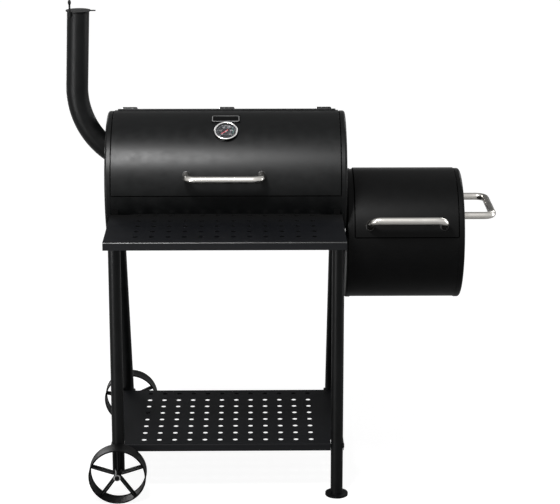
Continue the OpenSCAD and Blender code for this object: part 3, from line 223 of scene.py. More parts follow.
def make_painted_shade_group():
    """Painted shade round the drum: 1 next to its skin, fading out with the distance from
    its axis, with an edge broken up by noise."""
    tree, given, out = new_group(
        "DrumPaintedShade",
        [("Vector", VECTOR, None), ("Full", FLOAT, 0.19), ("Gone", FLOAT, 0.25),
         ("Ragged", FLOAT, 0.012)],
        [("Mask", FLOAT, None)])
    turned = add(tree, "ShaderNodeVectorMath",
                 {0: given.outputs["Vector"], 1: (0.0, 1.0, 1.0),
                  2: (0.0, -AXIS_Y, -DRUM_Z)}, operation="MULTIPLY_ADD")
    away = add(tree, "ShaderNodeVectorMath", {0: turned.outputs[0]}, operation="LENGTH")
    patchy = noise(tree, given.outputs["Vector"], 55.0, 3.0)
    shifted = maths(tree, "MULTIPLY_ADD", patchy, given.outputs["Ragged"],
                    away.outputs["Value"])
    mask = add(tree, "ShaderNodeMapRange",
               {"Value": shifted, "From Min": given.outputs["Gone"],
                "From Max": given.outputs["Full"], "To Min": 0.0, "To Max": 1.0})
    tree.links.new(mask.outputs[0], out.inputs["Mask"])
    return tree


GROUPS = {"coat": make_coat_group(), "brush": make_brush_group(),
          "spangle": make_spangle_group(), "painted_shade": make_painted_shade_group()}

# ---- Finishes ----

WHITE = (1.0, 1.0, 1.0, 1.0)
# Painted shade: the near black colour and high roughness laid on the shelves next to the
# drum.
PAINTED_SHADE_COLOUR, PAINTED_SHADE_ROUGHNESS = (0.0012, 0.0012, 0.0012, 1.0), 0.95
LIP_GLOSS, LIP_ROUGHNESS = 0.24, 0.54


def finish(name, group, dark, light, bump, values, metallic=0.0, specular=0.5,
           along_uv=False, edge=1.0, painted_shade=None, lip=None):
    """A finish whose colour runs between dark and light with the group's tone, whose
    roughness is the group's, and whose surface is roughened by the group's height over
    a depth of bump metres. along_uv makes its streaks follow the piece's own UV map,
    and edge tints what it reflects where it turns away. painted_shade gives the
    distances from the drum's axis at which a painted shade, near black and very rough,
    is full and gone. lip, which needs painted_shade, is the height of a shelf's top:
    below it the folded lips, where no dust lies, have more gloss, except under the
    painted shade."""
    material = bpy.data.materials.new(name)
    material.use_nodes = True
    tree = material.node_tree
    shader = tree.nodes["Principled BSDF"]
    place = tree.nodes.new("ShaderNodeTexCoord")
    pattern = add(tree, "ShaderNodeGroup", node_tree=GROUPS[group])
    tree.links.new(place.outputs["UV" if along_uv else "Object"],
                   pattern.inputs["Vector"])
    for key, value in values.items():
        pattern.inputs[key].default_value = value
    height = add(tree, "ShaderNodeBump",
                 {"Height": pattern.outputs["Height"], "Distance": bump, "Strength": 1.0})
    colour = blend_colours(tree, pattern.outputs["Tone"], (*dark, 1.0), (*light, 1.0))
    rough = pattern.outputs["Roughness"]
    # Painted shade: next to the drum the colour goes near black and the roughness high.
    if painted_shade:
        painted_shade_cover = add(tree, "ShaderNodeGroup", node_tree=GROUPS["painted_shade"])
        tree.links.new(place.outputs["Object"], painted_shade_cover.inputs["Vector"])
        painted_shade_cover.inputs["Full"].default_value, painted_shade_cover.inputs["Gone"].default_value = painted_shade
        mask = painted_shade_cover.outputs["Mask"]
        colour = blend_colours(tree, mask, colour, PAINTED_SHADE_COLOUR)
        rough = blend_values(tree, mask, rough, PAINTED_SHADE_ROUGHNESS)
    tree.links.new(colour, shader.inputs["Base Color"])
    tree.links.new(rough, shader.inputs["Roughness"])
    tree.links.new(height.outputs["Normal"], shader.inputs["Normal"])
    shader.inputs["Metallic"].default_value = metallic
    shader.inputs["Specular IOR Level"].default_value = specular
    if lip:
        level = add(tree, "ShaderNodeSeparateXYZ", {0: place.outputs["Object"]})
        clean = add(tree, "ShaderNodeMapRange",
                    {"Value": level.outputs["Z"], "From Min": lip - BEND_R,
                     "From Max": lip - BEND_R / 3, "To Min": LIP_GLOSS, "To Max": 0.0})
        tree.links.new(blend_values(tree, mask, clean.outputs[0], 0.0),
                       shader.inputs["Coat Weight"])
        shader.inputs["Coat Roughness"].default_value = LIP_ROUGHNESS
    shader.inputs["Specular Tint"].default_value = (edge, edge, edge, 1.0)
    return material


def coat(name, tone, roughness, specular, bump=0.000012, painted_shade=None, lip=None, **values):
    """A powder coat, enamel, print or the near black matte of a painted shadow strip:
    uneven about the given tone. values go to the coat's group."""
    dark, light = tuple(0.7 * c for c in tone), tuple(1.35 * c for c in tone)
    return finish(name, "coat", dark, light, bump, {"Roughness": roughness, **values},
                  specular=specular, painted_shade=painted_shade, lip=lip)


BLACK = coat("satin black coat", (0.0030, 0.0034, 0.0036), 0.41, 0.14, Unevenness=38.0,
             Spread=0.20)
FIRE_BLACK = coat("high heat black coat", (0.0026, 0.0027, 0.0028), 0.38, 0.085,
                  Unevenness=30.0, Spread=0.10)
WHEEL_BLACK = coat("moulded wheel black", (0.0024, 0.0024, 0.0025), 0.46, 0.08)
# Lighter and glossier than the other blacks: on the front shelf's bend and the wheels'
# spoke ribs it is a painted highlight line, on the handles' foot washers it is their own
# rubbed coat.
WORN_AND_SHEEN_BLACK = coat("rubbed black coat and painted sheen", (0.011, 0.0112, 0.0115), 0.36, 0.34,
                  Unevenness=40.0, Spread=0.06)
# Both shelves' coats carry the painted shade near the drum, darkest next to its skin.
SHELF_BLACK, LOW_SHELF_BLACK = (
    coat(name, (0.0040, 0.0045, 0.0060), 0.54, 0.060, bump=0.00003,
         painted_shade=(DRUM_R + 0.014, DRUM_R + 0.10), lip=top)
    for name, top in (("fine textured black coat", SHELF_TOP),
                      ("lower shelf black coat", LOW_SHELF_TOP)))
PLATE_BLACK = coat("smooth black enamel", (0.0018, 0.0018, 0.002), 0.38, 0.06)
RUBBED_BLACK = coat("dark weld coat", (0.006, 0.006, 0.0065), 0.48, 0.15, bump=0.00003)
STEEL = finish("satin stainless steel", "brush", (0.54, 0.525, 0.49), (0.64, 0.62, 0.59),
               0.000004, {"Roughness": 0.24, "Along": 14.0, "Across": 900.0,
                          "Spread": 0.10}, metallic=1.0, along_uv=True, edge=0.55)
STEEL_SOLID = finish("satin stainless fittings", "brush", (0.68, 0.66, 0.62),
                     (0.80, 0.78, 0.74), 0.000003,
                     {"Roughness": 0.22, "Spread": 0.08}, metallic=1.0)
BEZEL = finish("polished bezel steel", "brush", (0.62, 0.62, 0.61), (0.72, 0.72, 0.71),
               0.000002, {"Roughness": 0.24, "Spread": 0.06}, metallic=1.0)
ZINC = finish("zinc plating", "spangle", (0.62, 0.62, 0.61), (0.76, 0.76, 0.75),
              0.000004, {"Roughness": 0.34}, metallic=1.0, edge=0.7)
DARK_ZINC = finish("blackened zinc", "spangle", (0.035, 0.035, 0.035), (0.06, 0.06, 0.06),
                   0.000004, {"Roughness": 0.42}, metallic=1.0, edge=0.3)
WIRE = finish("nickelled wire", "brush", (0.55, 0.54, 0.52), (0.68, 0.67, 0.65),
              0.000003, {"Roughness": 0.24, "Spread": 0.10}, metallic=1.0)
DIAL = coat("dial enamel", (0.012, 0.0135, 0.018), 0.45, 0.3, bump=0.000004)
MARKS = coat("pale dial print", (0.52, 0.52, 0.53), 0.5, 0.4, bump=0.000003)
ZONE = coat("green dial print", (0.03, 0.16, 0.13), 0.5, 0.4, bump=0.000003)
# Painted shadow: the near black matte strip laid round the lids' edges in place of the
# shade under them.
PAINTED_SHADOW_BLACK = coat("painted shadow strip", (0.0008, 0.0008, 0.0008), 0.95, 0.02, bump=0.00006)
RED = coat("red pointer enamel", (0.66, 0.06, 0.07), 0.35, 0.5, bump=0.000003)
BORDER = finish("light plate border", "brush", (0.36, 0.36, 0.36), (0.48, 0.48, 0.48),
                0.000002, {"Roughness": 0.35, "Spread": 0.08}, metallic=0.6)


def make_glass():
    """Clear flat glass with faint wiping marks in its gloss."""
    material = bpy.data.materials.new("dial glass")
    material.use_nodes = True
    tree = material.node_tree
    shader = tree.nodes["Principled BSDF"]
    place = tree.nodes.new("ShaderNodeTexCoord")
    rough = add(tree, "ShaderNodeMapRange",
                {"Value": noise(tree, place.outputs["Object"], 90.0, 2.0),
                 "To Min": 0.0, "To Max": 0.05})
    tree.links.new(rough.outputs[0], shader.inputs["Roughness"])
    shader.inputs["Base Color"].default_value = WHITE
    shader.inputs["Transmission Weight"].default_value = 1.0
    shader.inputs["IOR"].default_value = 1.22
    return material


GLASS = make_glass()

SLOT_FINISH = {
    "black_paint": BLACK, "shelf_paint": SHELF_BLACK, "plate_paint": PLATE_BLACK,
    "handle_steel": STEEL_SOLID, "zinc": ZINC, "grate_wire": WIRE, "bezel_steel": BEZEL,
    "dial": DIAL, "dial_glass": GLASS, "pointer_red": RED,
}
# Parts that differ from the rest of their slot, by the first word of their names.
OWN_FINISH = {("firebox", BLACK): FIRE_BLACK, ("shelf", ZINC): DARK_ZINC,
              ("bottom", SHELF_BLACK): LOW_SHELF_BLACK}
for node_name, cad_object in frame["nodes"].items():
    for place in cad_object.material_slots:
        usual = SLOT_FINISH[place.material.name.split(".")[0]]
        place.material = OWN_FINISH.get((node_name.split("_")[0], usual), usual)

# ---- Surfaces ----


def grid_faces(rows, columns, wrap_rows, wrap_columns):
    """Corner numbers of the quads on a grid of rows by columns, wrapped where asked."""
    i = np.arange(rows if wrap_rows else rows - 1)[:, None]
    j = np.arange(columns if wrap_columns else columns - 1)[None, :]
    i1, j1 = (i + 1) % rows, (j + 1) % columns
    return np.stack([i * columns + j, i1 * columns + j, i1 * columns + j1,
                     i * columns + j1], axis=-1).reshape(-1, 4)


def make_piece(name, points, faces, material, body, slot, uv=None, sharp=35.0):
    """A piece from points and faces: doubles are merged, holes at poles close, faces
    turn outwards, and edges sharper than the given angle stay crisp."""
    mesh = bpy.data.meshes.new(name)
    mesh.from_pydata(points.reshape(-1, 3).tolist(), [], faces.tolist())
    if uv is not None:
        layer = mesh.uv_layers.new(name="UVMap")
        corners = np.zeros(len(mesh.loops), np.int32)
        mesh.loops.foreach_get("vertex_index", corners)
        layer.data.foreach_set(
            "uv", uv.reshape(-1, 2)[corners].astype(np.float32).ravel())
    work = bmesh.new()
    work.from_mesh(mesh)
    bmesh.ops.remove_doubles(work, verts=work.verts, dist=1e-7)
    bmesh.ops.recalc_face_normals(work, faces=work.faces)
    work.to_mesh(mesh)
    work.free()
    mesh.shade_smooth()
    mesh.set_sharp_from_angle(angle=math.radians(sharp))
    mesh.materials.append(material)
    piece = bpy.data.objects.new(name, mesh)
    bpy.context.scene.collection.objects.link(piece)
    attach(piece, body)
    return piece


def drum_point(angle, radius, x, axis_z):
    """Point on a cylinder along X: the angle counts from the front horizontal up."""
    a = np.radians(angle)
    x, a, radius = np.broadcast_arrays(x, a, radius)
    return np.stack([x, AXIS_Y - radius * np.cos(a), axis_z + radius * np.sin(a)], -1)


def drum_normal(angle):
    """Outward direction of a drum or lid at an angle."""
    a = math.radians(angle)
    return (0.0, -math.cos(a), math.sin(a))


def revolve(name, profile, base, axis, material, body, slot, steps):
    """The profile's points (distance from the axis, height along it) turned about an
    axis through base. The profile is closed on itself unless it starts on the axis."""
    profile = np.asarray(profile, float)
    axis = np.asarray(axis, float) / np.linalg.norm(axis)
    side = np.cross(axis, (1.0, 0.0, 0.0) if abs(axis[0]) < 0.9 else (0.0, 1.0, 0.0))
    side /= np.linalg.norm(side)
    other = np.cross(axis, side)
    t = np.linspace(0.0, math.tau, steps, endpoint=False)[None, :, None]
    r, h = profile[:, 0][:, None, None], profile[:, 1][:, None, None]
    ring = np.cos(t) * side + np.sin(t) * other
    points = np.asarray(base, float) + h * axis + r * ring
    on_axis = profile[0, 0] < 1e-9 and profile[-1, 0] < 1e-9
    faces = grid_faces(len(profile), steps, not on_axis, True)
    return make_piece(name, points, faces, material, body, slot)


def sweep(path, outline, up, closed):
    """An outline (side, up) carried along a path: at each point the side is the cross
    product of the path's direction and up. Returns the points as a grid."""
    path = np.asarray(path, float)
    if closed:
        direction = np.roll(path, -1, 0) - np.roll(path, 1, 0)
    else:
        direction = np.gradient(path, axis=0)
    direction /= np.linalg.norm(direction, axis=1, keepdims=True)
    up = np.broadcast_to(np.asarray(up, float), path.shape)
    side = np.cross(direction, up)
    side /= np.linalg.norm(side, axis=1, keepdims=True)
    lift = np.cross(side, direction)
    outline = np.asarray(outline, float)
    return (path[:, None] + outline[None, :, :1] * side[:, None]
            + outline[None, :, 1:] * lift[:, None])


def circle(radius, steps):
    """Points of a circle as (side, up) pairs."""
    t = np.linspace(0.0, math.tau, steps, endpoint=False)
    return radius * np.stack([np.cos(t), np.sin(t)], 1)


def with_ends(grid):
    """The grid with the middle of its first and last rows added as poles."""
    first = np.repeat(grid[:1].mean(1, keepdims=True), grid.shape[1], 1)
    last = np.repeat(grid[-1:].mean(1, keepdims=True), grid.shape[1], 1)
    return np.concatenate([first, grid, last], 0)


def tube(name, grid, material, body, slot, closed=False, **more):
    """A piece from a grid whose rows are closed outlines, one behind the other. Both
    ends are closed with a pole, unless the last outline joins the first."""
    grid = grid if closed else with_ends(grid)
    faces = grid_faces(grid.shape[0], grid.shape[1], closed, True)
    return make_piece(name, grid, faces, material, body, slot, **more)


def length_along(path):
    """How far each point of a path is from its start, along it."""
    step = np.linalg.norm(np.diff(path, axis=0), axis=1)
    return np.concatenate([[0.0], np.cumsum(step)])


# ---- Lids ----

UNEVEN, LID_EDGE = 0.00005, 0.0003
STRIP = 0.0032


def lid_skin(name, node, body, axis_z, out_radius, x0, x1, a0, a1, material):
    """A rolled lid over (angle, X). The middle of the sheet lies half a thickness inside
    the outer radius, and a slow unevenness, a sum of three sines, takes up to 0.22 mm
    more from it. Solidify gives it its wall, and Bevel rounds its edges."""
    rows, columns = 229, 61
    angle = np.linspace(a0, a1, rows)[:, None]
    x = np.linspace(x0, x1, columns)[None, :]
    waves = (np.sin(9.0 * x + 0.05 * angle) + 0.7 * np.sin(23.0 * x - 0.09 * angle + 1.0)
             + 0.5 * np.sin(0.21 * angle + 2.0))
    radius = out_radius - SHEET / 2 + UNEVEN * (waves - 2.2)
    points = drum_point(angle, radius, x, axis_z)
    piece = make_piece(name, points, grid_faces(rows, columns, False, False), material,
                       body, "black_paint")
    wall = piece.modifiers.new("wall", "SOLIDIFY")
    wall.thickness, wall.offset = SHEET, 0.0
    edge = piece.modifiers.new("rounded edge", "BEVEL")
    edge.width, edge.segments, edge.angle_limit = LID_EDGE, 2, math.radians(50)
    edge.harden_normals = True
    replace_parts(piece, node)


lid_skin("drum_lid_skin", "drum_lid", "drum_lid", DRUM_Z, LID_OUT, LID_X0, LID_X1,
         LID_FROM, LID_TO, BLACK)
lid_skin("firebox_lid_skin", "firebox_lid", "firebox_lid", FIRE_Z, FIRE_LID_OUT,
         FIRE_LID_X0, FIRE_LID_X1, FIRE_LID_FROM, FIRE_LID_TO, FIRE_BLACK)


def lid_painted_shadow_strip(name, axis_z, radius, x0, x1, a0, a1):
    """A painted shadow round a lid's edge: a thin near black matte strip on the shell,
    half hidden under the lid, in place of the shade below its edge. A flat outline is
    carried down one side, along the lower edge and up the other side."""
    arc = np.linspace(a1 - 8.0, a0, 70)
    angle = np.concatenate([arc, np.full(118, a0), arc[::-1]])
    x = np.concatenate([np.full(70, x0), np.linspace(x0, x1, 120)[1:-1],
                        np.full(70, x1)])
    path = drum_point(angle, radius, x, axis_z)
    outwards = path - np.stack([x, np.full_like(x, AXIS_Y), np.full_like(x, axis_z)], -1)
    outline = [(-0.0020, -0.0003), (0.0026, -0.0003), (0.0026, 0.0005),
               (0.0022, 0.0009), (-0.0016, 0.0009), (-0.0020, 0.0005)]
    tube(name, sweep(path, outline, outwards, False), PAINTED_SHADOW_BLACK, "smoker_frame", "black_paint")


lid_painted_shadow_strip("drum_lid_seal", DRUM_Z, DRUM_R, LID_X0, LID_X1, LID_FROM, LID_TO)
lid_painted_shadow_strip("firebox_lid_seal", FIRE_Z, FIRE_R, FIRE_LID_X0, FIRE_LID_X1, FIRE_LID_FROM,
         FIRE_LID_TO)


def hinge_strip():
    """A flat strip along the drum lid's rear edge that its hinges are riveted to: a band
    between two angles with rounded upper corners, carried along X."""
    t = np.linspace(0.0, math.pi / 2, 5)
    corner, sunk = 0.0008, -0.0004
    turn = math.degrees(corner / LID_OUT)
    bend, rise = turn * (1 - np.cos(t)), STRIP - corner * (1 - np.sin(t))
    angle = np.concatenate([
        [STRIP_FROM], STRIP_FROM + bend,
        np.linspace(STRIP_FROM + turn, STRIP_TO - turn, 9)[1:-1],
        STRIP_TO - bend[::-1], np.linspace(STRIP_TO, STRIP_FROM, 9)[:-1]])
    r = LID_OUT + np.concatenate([[sunk], rise, np.full(7, STRIP), rise[::-1],
                                  np.full(8, sunk)])
    x = np.linspace(LID_X0 + 0.008, LID_X1 - 0.007, 40)[:, None]
    tube("drum_lid_hinge_strip", drum_point(angle[None, :], r[None, :], x, DRUM_Z), BLACK,
         "drum_lid", "black_paint", sharp=50.0)


hinge_strip()

# ---- Handles ----

BAR_R = (end("lid_handle", 2, 1) - end("lid_handle", 2, 0)) / 2
BAR_SPAN = end("lid_handle", 0, 1) - end("lid_handle", 0, 0) - 2 * BAR_R
BAR_BEND = 0.025
LID_REACH, SIDE_REACH = 0.050, 0.080
FIRE_HANDLE_TILT = math.radians(33.0)


def handle_path(reach):
    """Centre line of a handle in its own plane (X, height): up one leg, round a quarter
    circle, along the grip and down the other leg."""
    half, low = BAR_SPAN / 2, reach - BAR_BEND
    t = np.linspace(0.0, math.pi / 2, 17)
    left = np.stack([-half + BAR_BEND * (1 - np.cos(t)), low + BAR_BEND * np.sin(t)], 1)
    grip = np.stack([np.linspace(-half + BAR_BEND, half - BAR_BEND, 26)[1:-1],
                     np.full(24, reach)], 1)
    leg = np.stack([np.full(6, -half), np.linspace(0.0, low, 7)[:-1]], 1)
    right = left[::-1] * (-1, 1)
    return np.concatenate([leg, left, grip, right, leg[::-1] * (-1, 1)], 0)


def trim(ring, way, axis_z, radius):
    """Moves each point of a ring along way until it lies on the drum's outer face: the
    outer root of the quadratic for the distance from the drum's axis."""
    y, z = ring[:, 1] - AXIS_Y, ring[:, 2] - axis_z
    b = y * way[1] + z * way[2]
    c = y * y + z * z - radius * radius
    a = way[1] ** 2 + way[2] ** 2
    return ring + ((-b + np.sqrt(b * b - a * c)) / a)[:, None] * way


def handle(name, node, body, foot, way, reach, along, axis_z=None, radius=None):
    """A bent round bar: a circle carried along the handle's centre line, with its
    brushing along the bar. A lid's bar is trimmed at both feet to the lid's skin."""
    path2 = handle_path(reach)
    foot, way, along = (np.asarray(v, float) for v in (foot, way, along))
    path = foot + path2[:, :1] * along + path2[:, 1:] * way
    grid = sweep(path, circle(BAR_R, 32), np.cross(along, way), False)
    if radius:
        for k in (0, -1):
            grid[k] = trim(grid[k], way, axis_z, radius - 0.0003)
    length = length_along(path)
    length = np.concatenate([length[:1], length, length[-1:]])
    round_bar = np.linspace(0.0, math.tau * BAR_R, grid.shape[1], endpoint=False)
    uv = np.stack(np.broadcast_arrays(length[:, None], round_bar[None, :]), -1)
    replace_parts(tube(name, grid, STEEL, body, "handle_steel", uv=uv, sharp=60.0), node)


handle("drum_lid_grip", "lid_handle", "drum_lid",
       drum_point(LID_HANDLE_DEG, LID_OUT, HANDLE_X, DRUM_Z), (0, -1, 0), LID_REACH,
       (1, 0, 0), DRUM_Z, LID_OUT)
handle("firebox_lid_grip", "firebox_lid_handle", "firebox_lid",
       drum_point(FIRE_HANDLE_DEG, FIRE_LID_OUT, FIRE_LID_MID, FIRE_Z),
       (0, -math.cos(FIRE_HANDLE_TILT), math.sin(FIRE_HANDLE_TILT)), LID_REACH,
       (1, 0, 0), FIRE_Z, FIRE_LID_OUT)
handle("firebox_side_grip", "side_handle", "smoker_frame",
       (FIRE_X1, AXIS_Y, SIDE_HANDLE_Z), (1, 0, 0), SIDE_REACH, (0, 1, 0))

# ---- Thermometer ----

DIAL_N = np.array(drum_normal(DIAL_DEG))
DIAL_UP = np.array([0.0, DIAL_N[2], -DIAL_N[1]])
DIAL_X = np.array([1.0, 0.0, 0.0])
DIAL_BASE = drum_point(DIAL_DEG, LID_OUT, DRUM_X, DRUM_Z)
DIAL_TOP = 0.0048
CASE_R = (end("thermometer_case", 0, 1) - end("thermometer_case", 0, 0)) / 2
DIAL_FROM, DIAL_SWEEP = 225.0, -270.0
POINTER_DEG = 219.0
PRINT = 0.00016
NUMBER_SIZE, NUMBER_R = 0.0050, 0.0152


def placed(turn, place):
    """Matrix that turns by the columns of turn and then moves to place."""
    return Matrix(np.vstack([np.column_stack([turn, place]), [0, 0, 0, 1]]).tolist())


def on_dial(x, y, height):
    """Points on the dial's plane at a height above the lid's skin."""
    x, y, height = np.broadcast_arrays(x, y, height)
    return (DIAL_BASE + x[..., None] * DIAL_X + y[..., None] * DIAL_UP
            + height[..., None] * DIAL_N)


bezel = revolve(
    "thermometer_bezel",
    [(CASE_R - 0.0022, 0.0074), (CASE_R - 0.0022, 0.0083), (CASE_R - 0.0038, 0.0084),
     (CASE_R - 0.0040, 0.0086), (CASE_R - 0.0038, 0.0089), (CASE_R - 0.0032, 0.0094),
     (CASE_R - 0.0022, 0.0097), (CASE_R - 0.0012, 0.0096), (CASE_R - 0.0003, 0.0091),
     (CASE_R + 0.0001, 0.0084), (CASE_R, 0.0077), (CASE_R - 0.0004, 0.0074)],
    DIAL_BASE, DIAL_N, BEZEL, "drum_lid", "bezel_steel", steps=96)
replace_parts(bezel, "thermometer_case")
revolve("thermometer_can",
        [(0.0, 0.0044), (CASE_R - 0.0024, 0.0044), (CASE_R - 0.0024, 0.0076),
         (CASE_R - 0.0010, 0.0076), (CASE_R - 0.0010, 0.0050), (CASE_R - 0.0014, 0.0046),
         (CASE_R - 0.0014, 0.0012), (CASE_R - 0.0002, 0.0006), (CASE_R - 0.0002, -0.0026),
         (0.0, -0.0026)],
        DIAL_BASE, DIAL_N, PLATE_BLACK, "drum_lid", "black_paint", steps=96)


def flat_marks(name, places, inner, outer, half_width):
    """Printed marks round the dial at some shares of its sweep: each becomes a thin
    raised bar that points to the dial's middle."""
    a = np.radians(DIAL_FROM + DIAL_SWEEP * places)[:, None]
    r = np.array([inner, outer, outer, inner])
    w = half_width * np.array([-1.0, -1.0, 1.0, 1.0])
    x = np.tile(r * np.cos(a) - w * np.sin(a), 2)
    y = np.tile(r * np.sin(a) + w * np.cos(a), 2)
    points = on_dial(x, y, DIAL_TOP + np.repeat([0.0, PRINT], 4))
    cell = np.array([[0, 1, 2, 3], [4, 5, 6, 7], [0, 1, 5, 4], [1, 2, 6, 5],
                     [2, 3, 7, 6], [3, 0, 4, 7]])
    faces = (np.arange(len(places)) * 8)[:, None, None] + cell
    make_piece(name, points, faces.reshape(-1, 4), MARKS, "drum_lid", "dial")


SHARES = np.linspace(0.0, 1.0, 51)
flat_marks("dial_minor_marks", SHARES, 0.0212, 0.0224, 0.00014)
flat_marks("dial_major_marks", SHARES[::5], 0.0200, 0.0226, 0.00032)


def dial_ring(name, radius, width, from_deg, to_deg, material):
    """A thin printed arc on the dial: a flat cross-section carried round an arc."""
    a = np.radians(np.linspace(from_deg, to_deg, 97))
    closed = abs(to_deg - from_deg) >= 360.0
    a = a[:-1] if closed else a
    w, h = width / 2, PRINT / 2
    path = on_dial(radius * np.cos(a), radius * np.sin(a), DIAL_TOP + h)
    outline = [(-w, -h), (w, -h), (w, h), (-w, h)]
    tube(name, sweep(path, outline, DIAL_N, closed), material, "drum_lid", "dial",
         closed=closed)


dial_ring("dial_inner_ring", 0.0118, 0.0003, 0.0, 360.0, MARKS)
dial_ring("dial_warm_zone", 0.0187, 0.0012, 100.0, 45.0, MARKS)
dial_ring("dial_hot_zone", 0.0187, 0.0012, 35.0, -35.0, ZONE)


def dial_numbers():
    """Plain numbers round the dial, each a flat piece of type made a mesh first."""
    depth = 0.00006
    basis = np.stack([DIAL_X, DIAL_UP, DIAL_N], 1)
    for k, s in enumerate(SHARES[::10]):
        a = math.radians(DIAL_FROM + DIAL_SWEEP * s)
        curve = bpy.data.curves.new(f"dial_number_{k}", "FONT")
        curve.body, curve.size, curve.extrude = str(50 * (k + 1)), NUMBER_SIZE, depth
        curve.align_x, curve.align_y = "CENTER", "CENTER"
        curve.resolution_u = 3
        drawn = bpy.data.objects.new(f"dial_number_{k}", curve)
        mesh = bpy.data.meshes.new_from_object(drawn)
        bpy.data.objects.remove(drawn)
        centre = on_dial(NUMBER_R * math.cos(a), NUMBER_R * math.sin(a),
                         DIAL_TOP + depth)
        mesh.transform(placed(basis, centre))
        mesh.materials.clear()
        mesh.materials.append(MARKS)
        piece = bpy.data.objects.new(f"dial_number_{k}", mesh)
        bpy.context.scene.collection.objects.link(piece)
        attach(piece, "drum_lid")


dial_numbers()


def pointer():
    """Flat pressed pointer: a slim spear from the hub towards its tip with a short tail.
    Its half width over the length runs through fixed stations, and its top is crowned
    by the square root of what is left of the width."""
    along = np.array([-0.0060, -0.0052, -0.0030, 0.0, 0.0030, 0.0110, 0.0150, 0.0160])
    half = np.array([0.0009, 0.0014, 0.0010, 0.0016, 0.0011, 0.0008, 0.0005, 0.0001])
    under_z, edge_z, crown = 0.00555, 0.00585, 0.00022
    across = np.linspace(-1.0, 1.0, 7)
    upper = np.stack(np.broadcast_arrays(along[:, None], half[:, None] * across,
                                         edge_z + crown * np.sqrt(1.0 - across ** 2)), -1)
    under = np.stack(np.broadcast_arrays(along[:, None], half[:, None] * across[::-1],
                                         under_z), -1)
    flat = np.concatenate([upper, under], 1)
    turn = math.radians(POINTER_DEG)
    x = flat[..., 0] * math.cos(turn) - flat[..., 1] * math.sin(turn)
    y = flat[..., 0] * math.sin(turn) + flat[..., 1] * math.cos(turn)
    blade = tube("pointer_blade", on_dial(x, y, flat[..., 2]), RED,
                 "thermometer_pointer", "pointer_red", sharp=50.0)
    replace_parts(blade, "thermometer_pointer")


pointer()
revolve("pointer_cap",
        [(0, 0.0065), (0.0012, 0.00645), (0.0022, 0.0062), (0.0026, 0.0058),
         (0.0026, 0.0056), (0, 0.0056)],
        DIAL_BASE, DIAL_N, BEZEL, "thermometer_pointer", "bezel_steel", steps=32)

# ---- Plate ----


def plate_loop(half_w, half_h, corner, radius):
    """Rounded rectangle wrapped on the lid: X across, and the height as an arc length
    round the drum's axis about the plate's own angle."""
    t = np.linspace(0.0, math.pi / 2, 9)
    arc = corner * np.stack([np.cos(t), np.sin(t)], 1)
    cx, cy = half_w - corner, half_h - corner
    quarter = [arc + (cx, cy), arc[::-1] * (-1, 1) + (-cx, cy), -arc + (-cx, -cy),
               arc[::-1] * (1, -1) + (cx, -cy)]
    side = np.linspace(0.0, 1.0, 9)[1:-1, None]
    loop = []
    for k in range(4):
        loop += [quarter[k], quarter[k][-1] * (1 - side) + quarter[(k + 1) % 4][0] * side]
    flat = np.concatenate(loop, 0)
    angle = PLATE_DEG + np.degrees((flat[:, 1] + PLATE_SHIFT) / radius)
    a = np.radians(angle)
    points = drum_point(angle, radius, DRUM_X - PLATE_SHIFT + flat[:, 0], DRUM_Z)
    out = np.stack([np.zeros_like(a), -np.cos(a), np.sin(a)], 1)
    return points, out


PLATE_SHIFT, PLATE_FACE = 0.0012, LID_OUT + 0.0012
loop, outwards = plate_loop(0.0343, 0.0140, 0.0042, PLATE_FACE)
tube("plate_border",
     sweep(loop, [(-0.0009, -0.0002), (0.0009, -0.0002), (0.0009, 0.00022),
                  (0.0006, 0.0004), (-0.0006, 0.0004), (-0.0009, 0.00022)],
           outwards, True), BORDER, "drum_lid", "plate_paint", closed=True)

# ---- Rivets, welds and small trim ----

LEAF, LEAF_SPREAD = 0.0015, 0.011
RIVET, PIN_HEAD = (0.0028, 0.0016), (0.0034, 0.0024)
LID_HINGES = [DRUM_X - 0.256, DRUM_X, DRUM_X + 0.256]
FIRE_HINGES = [FIRE_LID_MID - 0.090, FIRE_LID_MID + 0.090]
HINGE_HALF = 0.018


def heads(prefix, places, size, body):
    """A low round head of a (radius, height) at each (base, direction): a cosine cap on
    a short straight skirt."""
    radius, height = size
    sink = 0.0006
    t = np.linspace(0.0, math.pi / 2, 8)
    cap = np.stack([radius * np.sin(t), height * np.cos(t)], 1)
    profile = np.concatenate([cap, [[radius, -sink], [0.0, -sink]]], 0)
    for k, (base, way) in enumerate(places):
        revolve(f"{prefix}_{k}", profile, base, way, BLACK, body, "black_paint", steps=24)


def leaf_rivets(prefix, body, angle, radius, axis_z, centres):
    """The two rivets of each hinge leaf, either side of the hinge's middle."""
    heads(prefix, [(drum_point(angle, radius, x + s, axis_z), drum_normal(angle))
                   for x in centres for s in (-LEAF_SPREAD, LEAF_SPREAD)], RIVET, body)


leaf_rivets("lid_leaf_rivet", "drum_lid", LID_LEAF_DEG, LID_OUT + STRIP, DRUM_Z,
            LID_HINGES)
leaf_rivets("drum_leaf_rivet", "smoker_frame", DRUM_LEAF_DEG, DRUM_R + LEAF, DRUM_Z,
            LID_HINGES)
leaf_rivets("fire_lid_leaf_rivet", "firebox_lid", FIRE_LID_LEAF_DEG, FIRE_LID_OUT + LEAF,
            FIRE_Z, FIRE_HINGES)
leaf_rivets("fire_leaf_rivet", "smoker_frame", FIRE_LEAF_DEG, FIRE_R + LEAF, FIRE_Z,
            FIRE_HINGES)


def pin_heads(prefix, joint, centres):
    """Domed heads on both ends of a lid's hinge pins."""
    _, y, z = frame_joint(joint)
    for side, way in (("left", -1.0), ("right", 1.0)):
        heads(f"{prefix}_{side}",
              [((x + way * (HINGE_HALF + 0.0002), y, z), (way, 0.0, 0.0))
               for x in centres], PIN_HEAD, "smoker_frame")


pin_heads("lid_pin_head", "lid_hinge", LID_HINGES)
pin_heads("fire_pin_head", "firebox_lid_hinge", FIRE_HINGES)


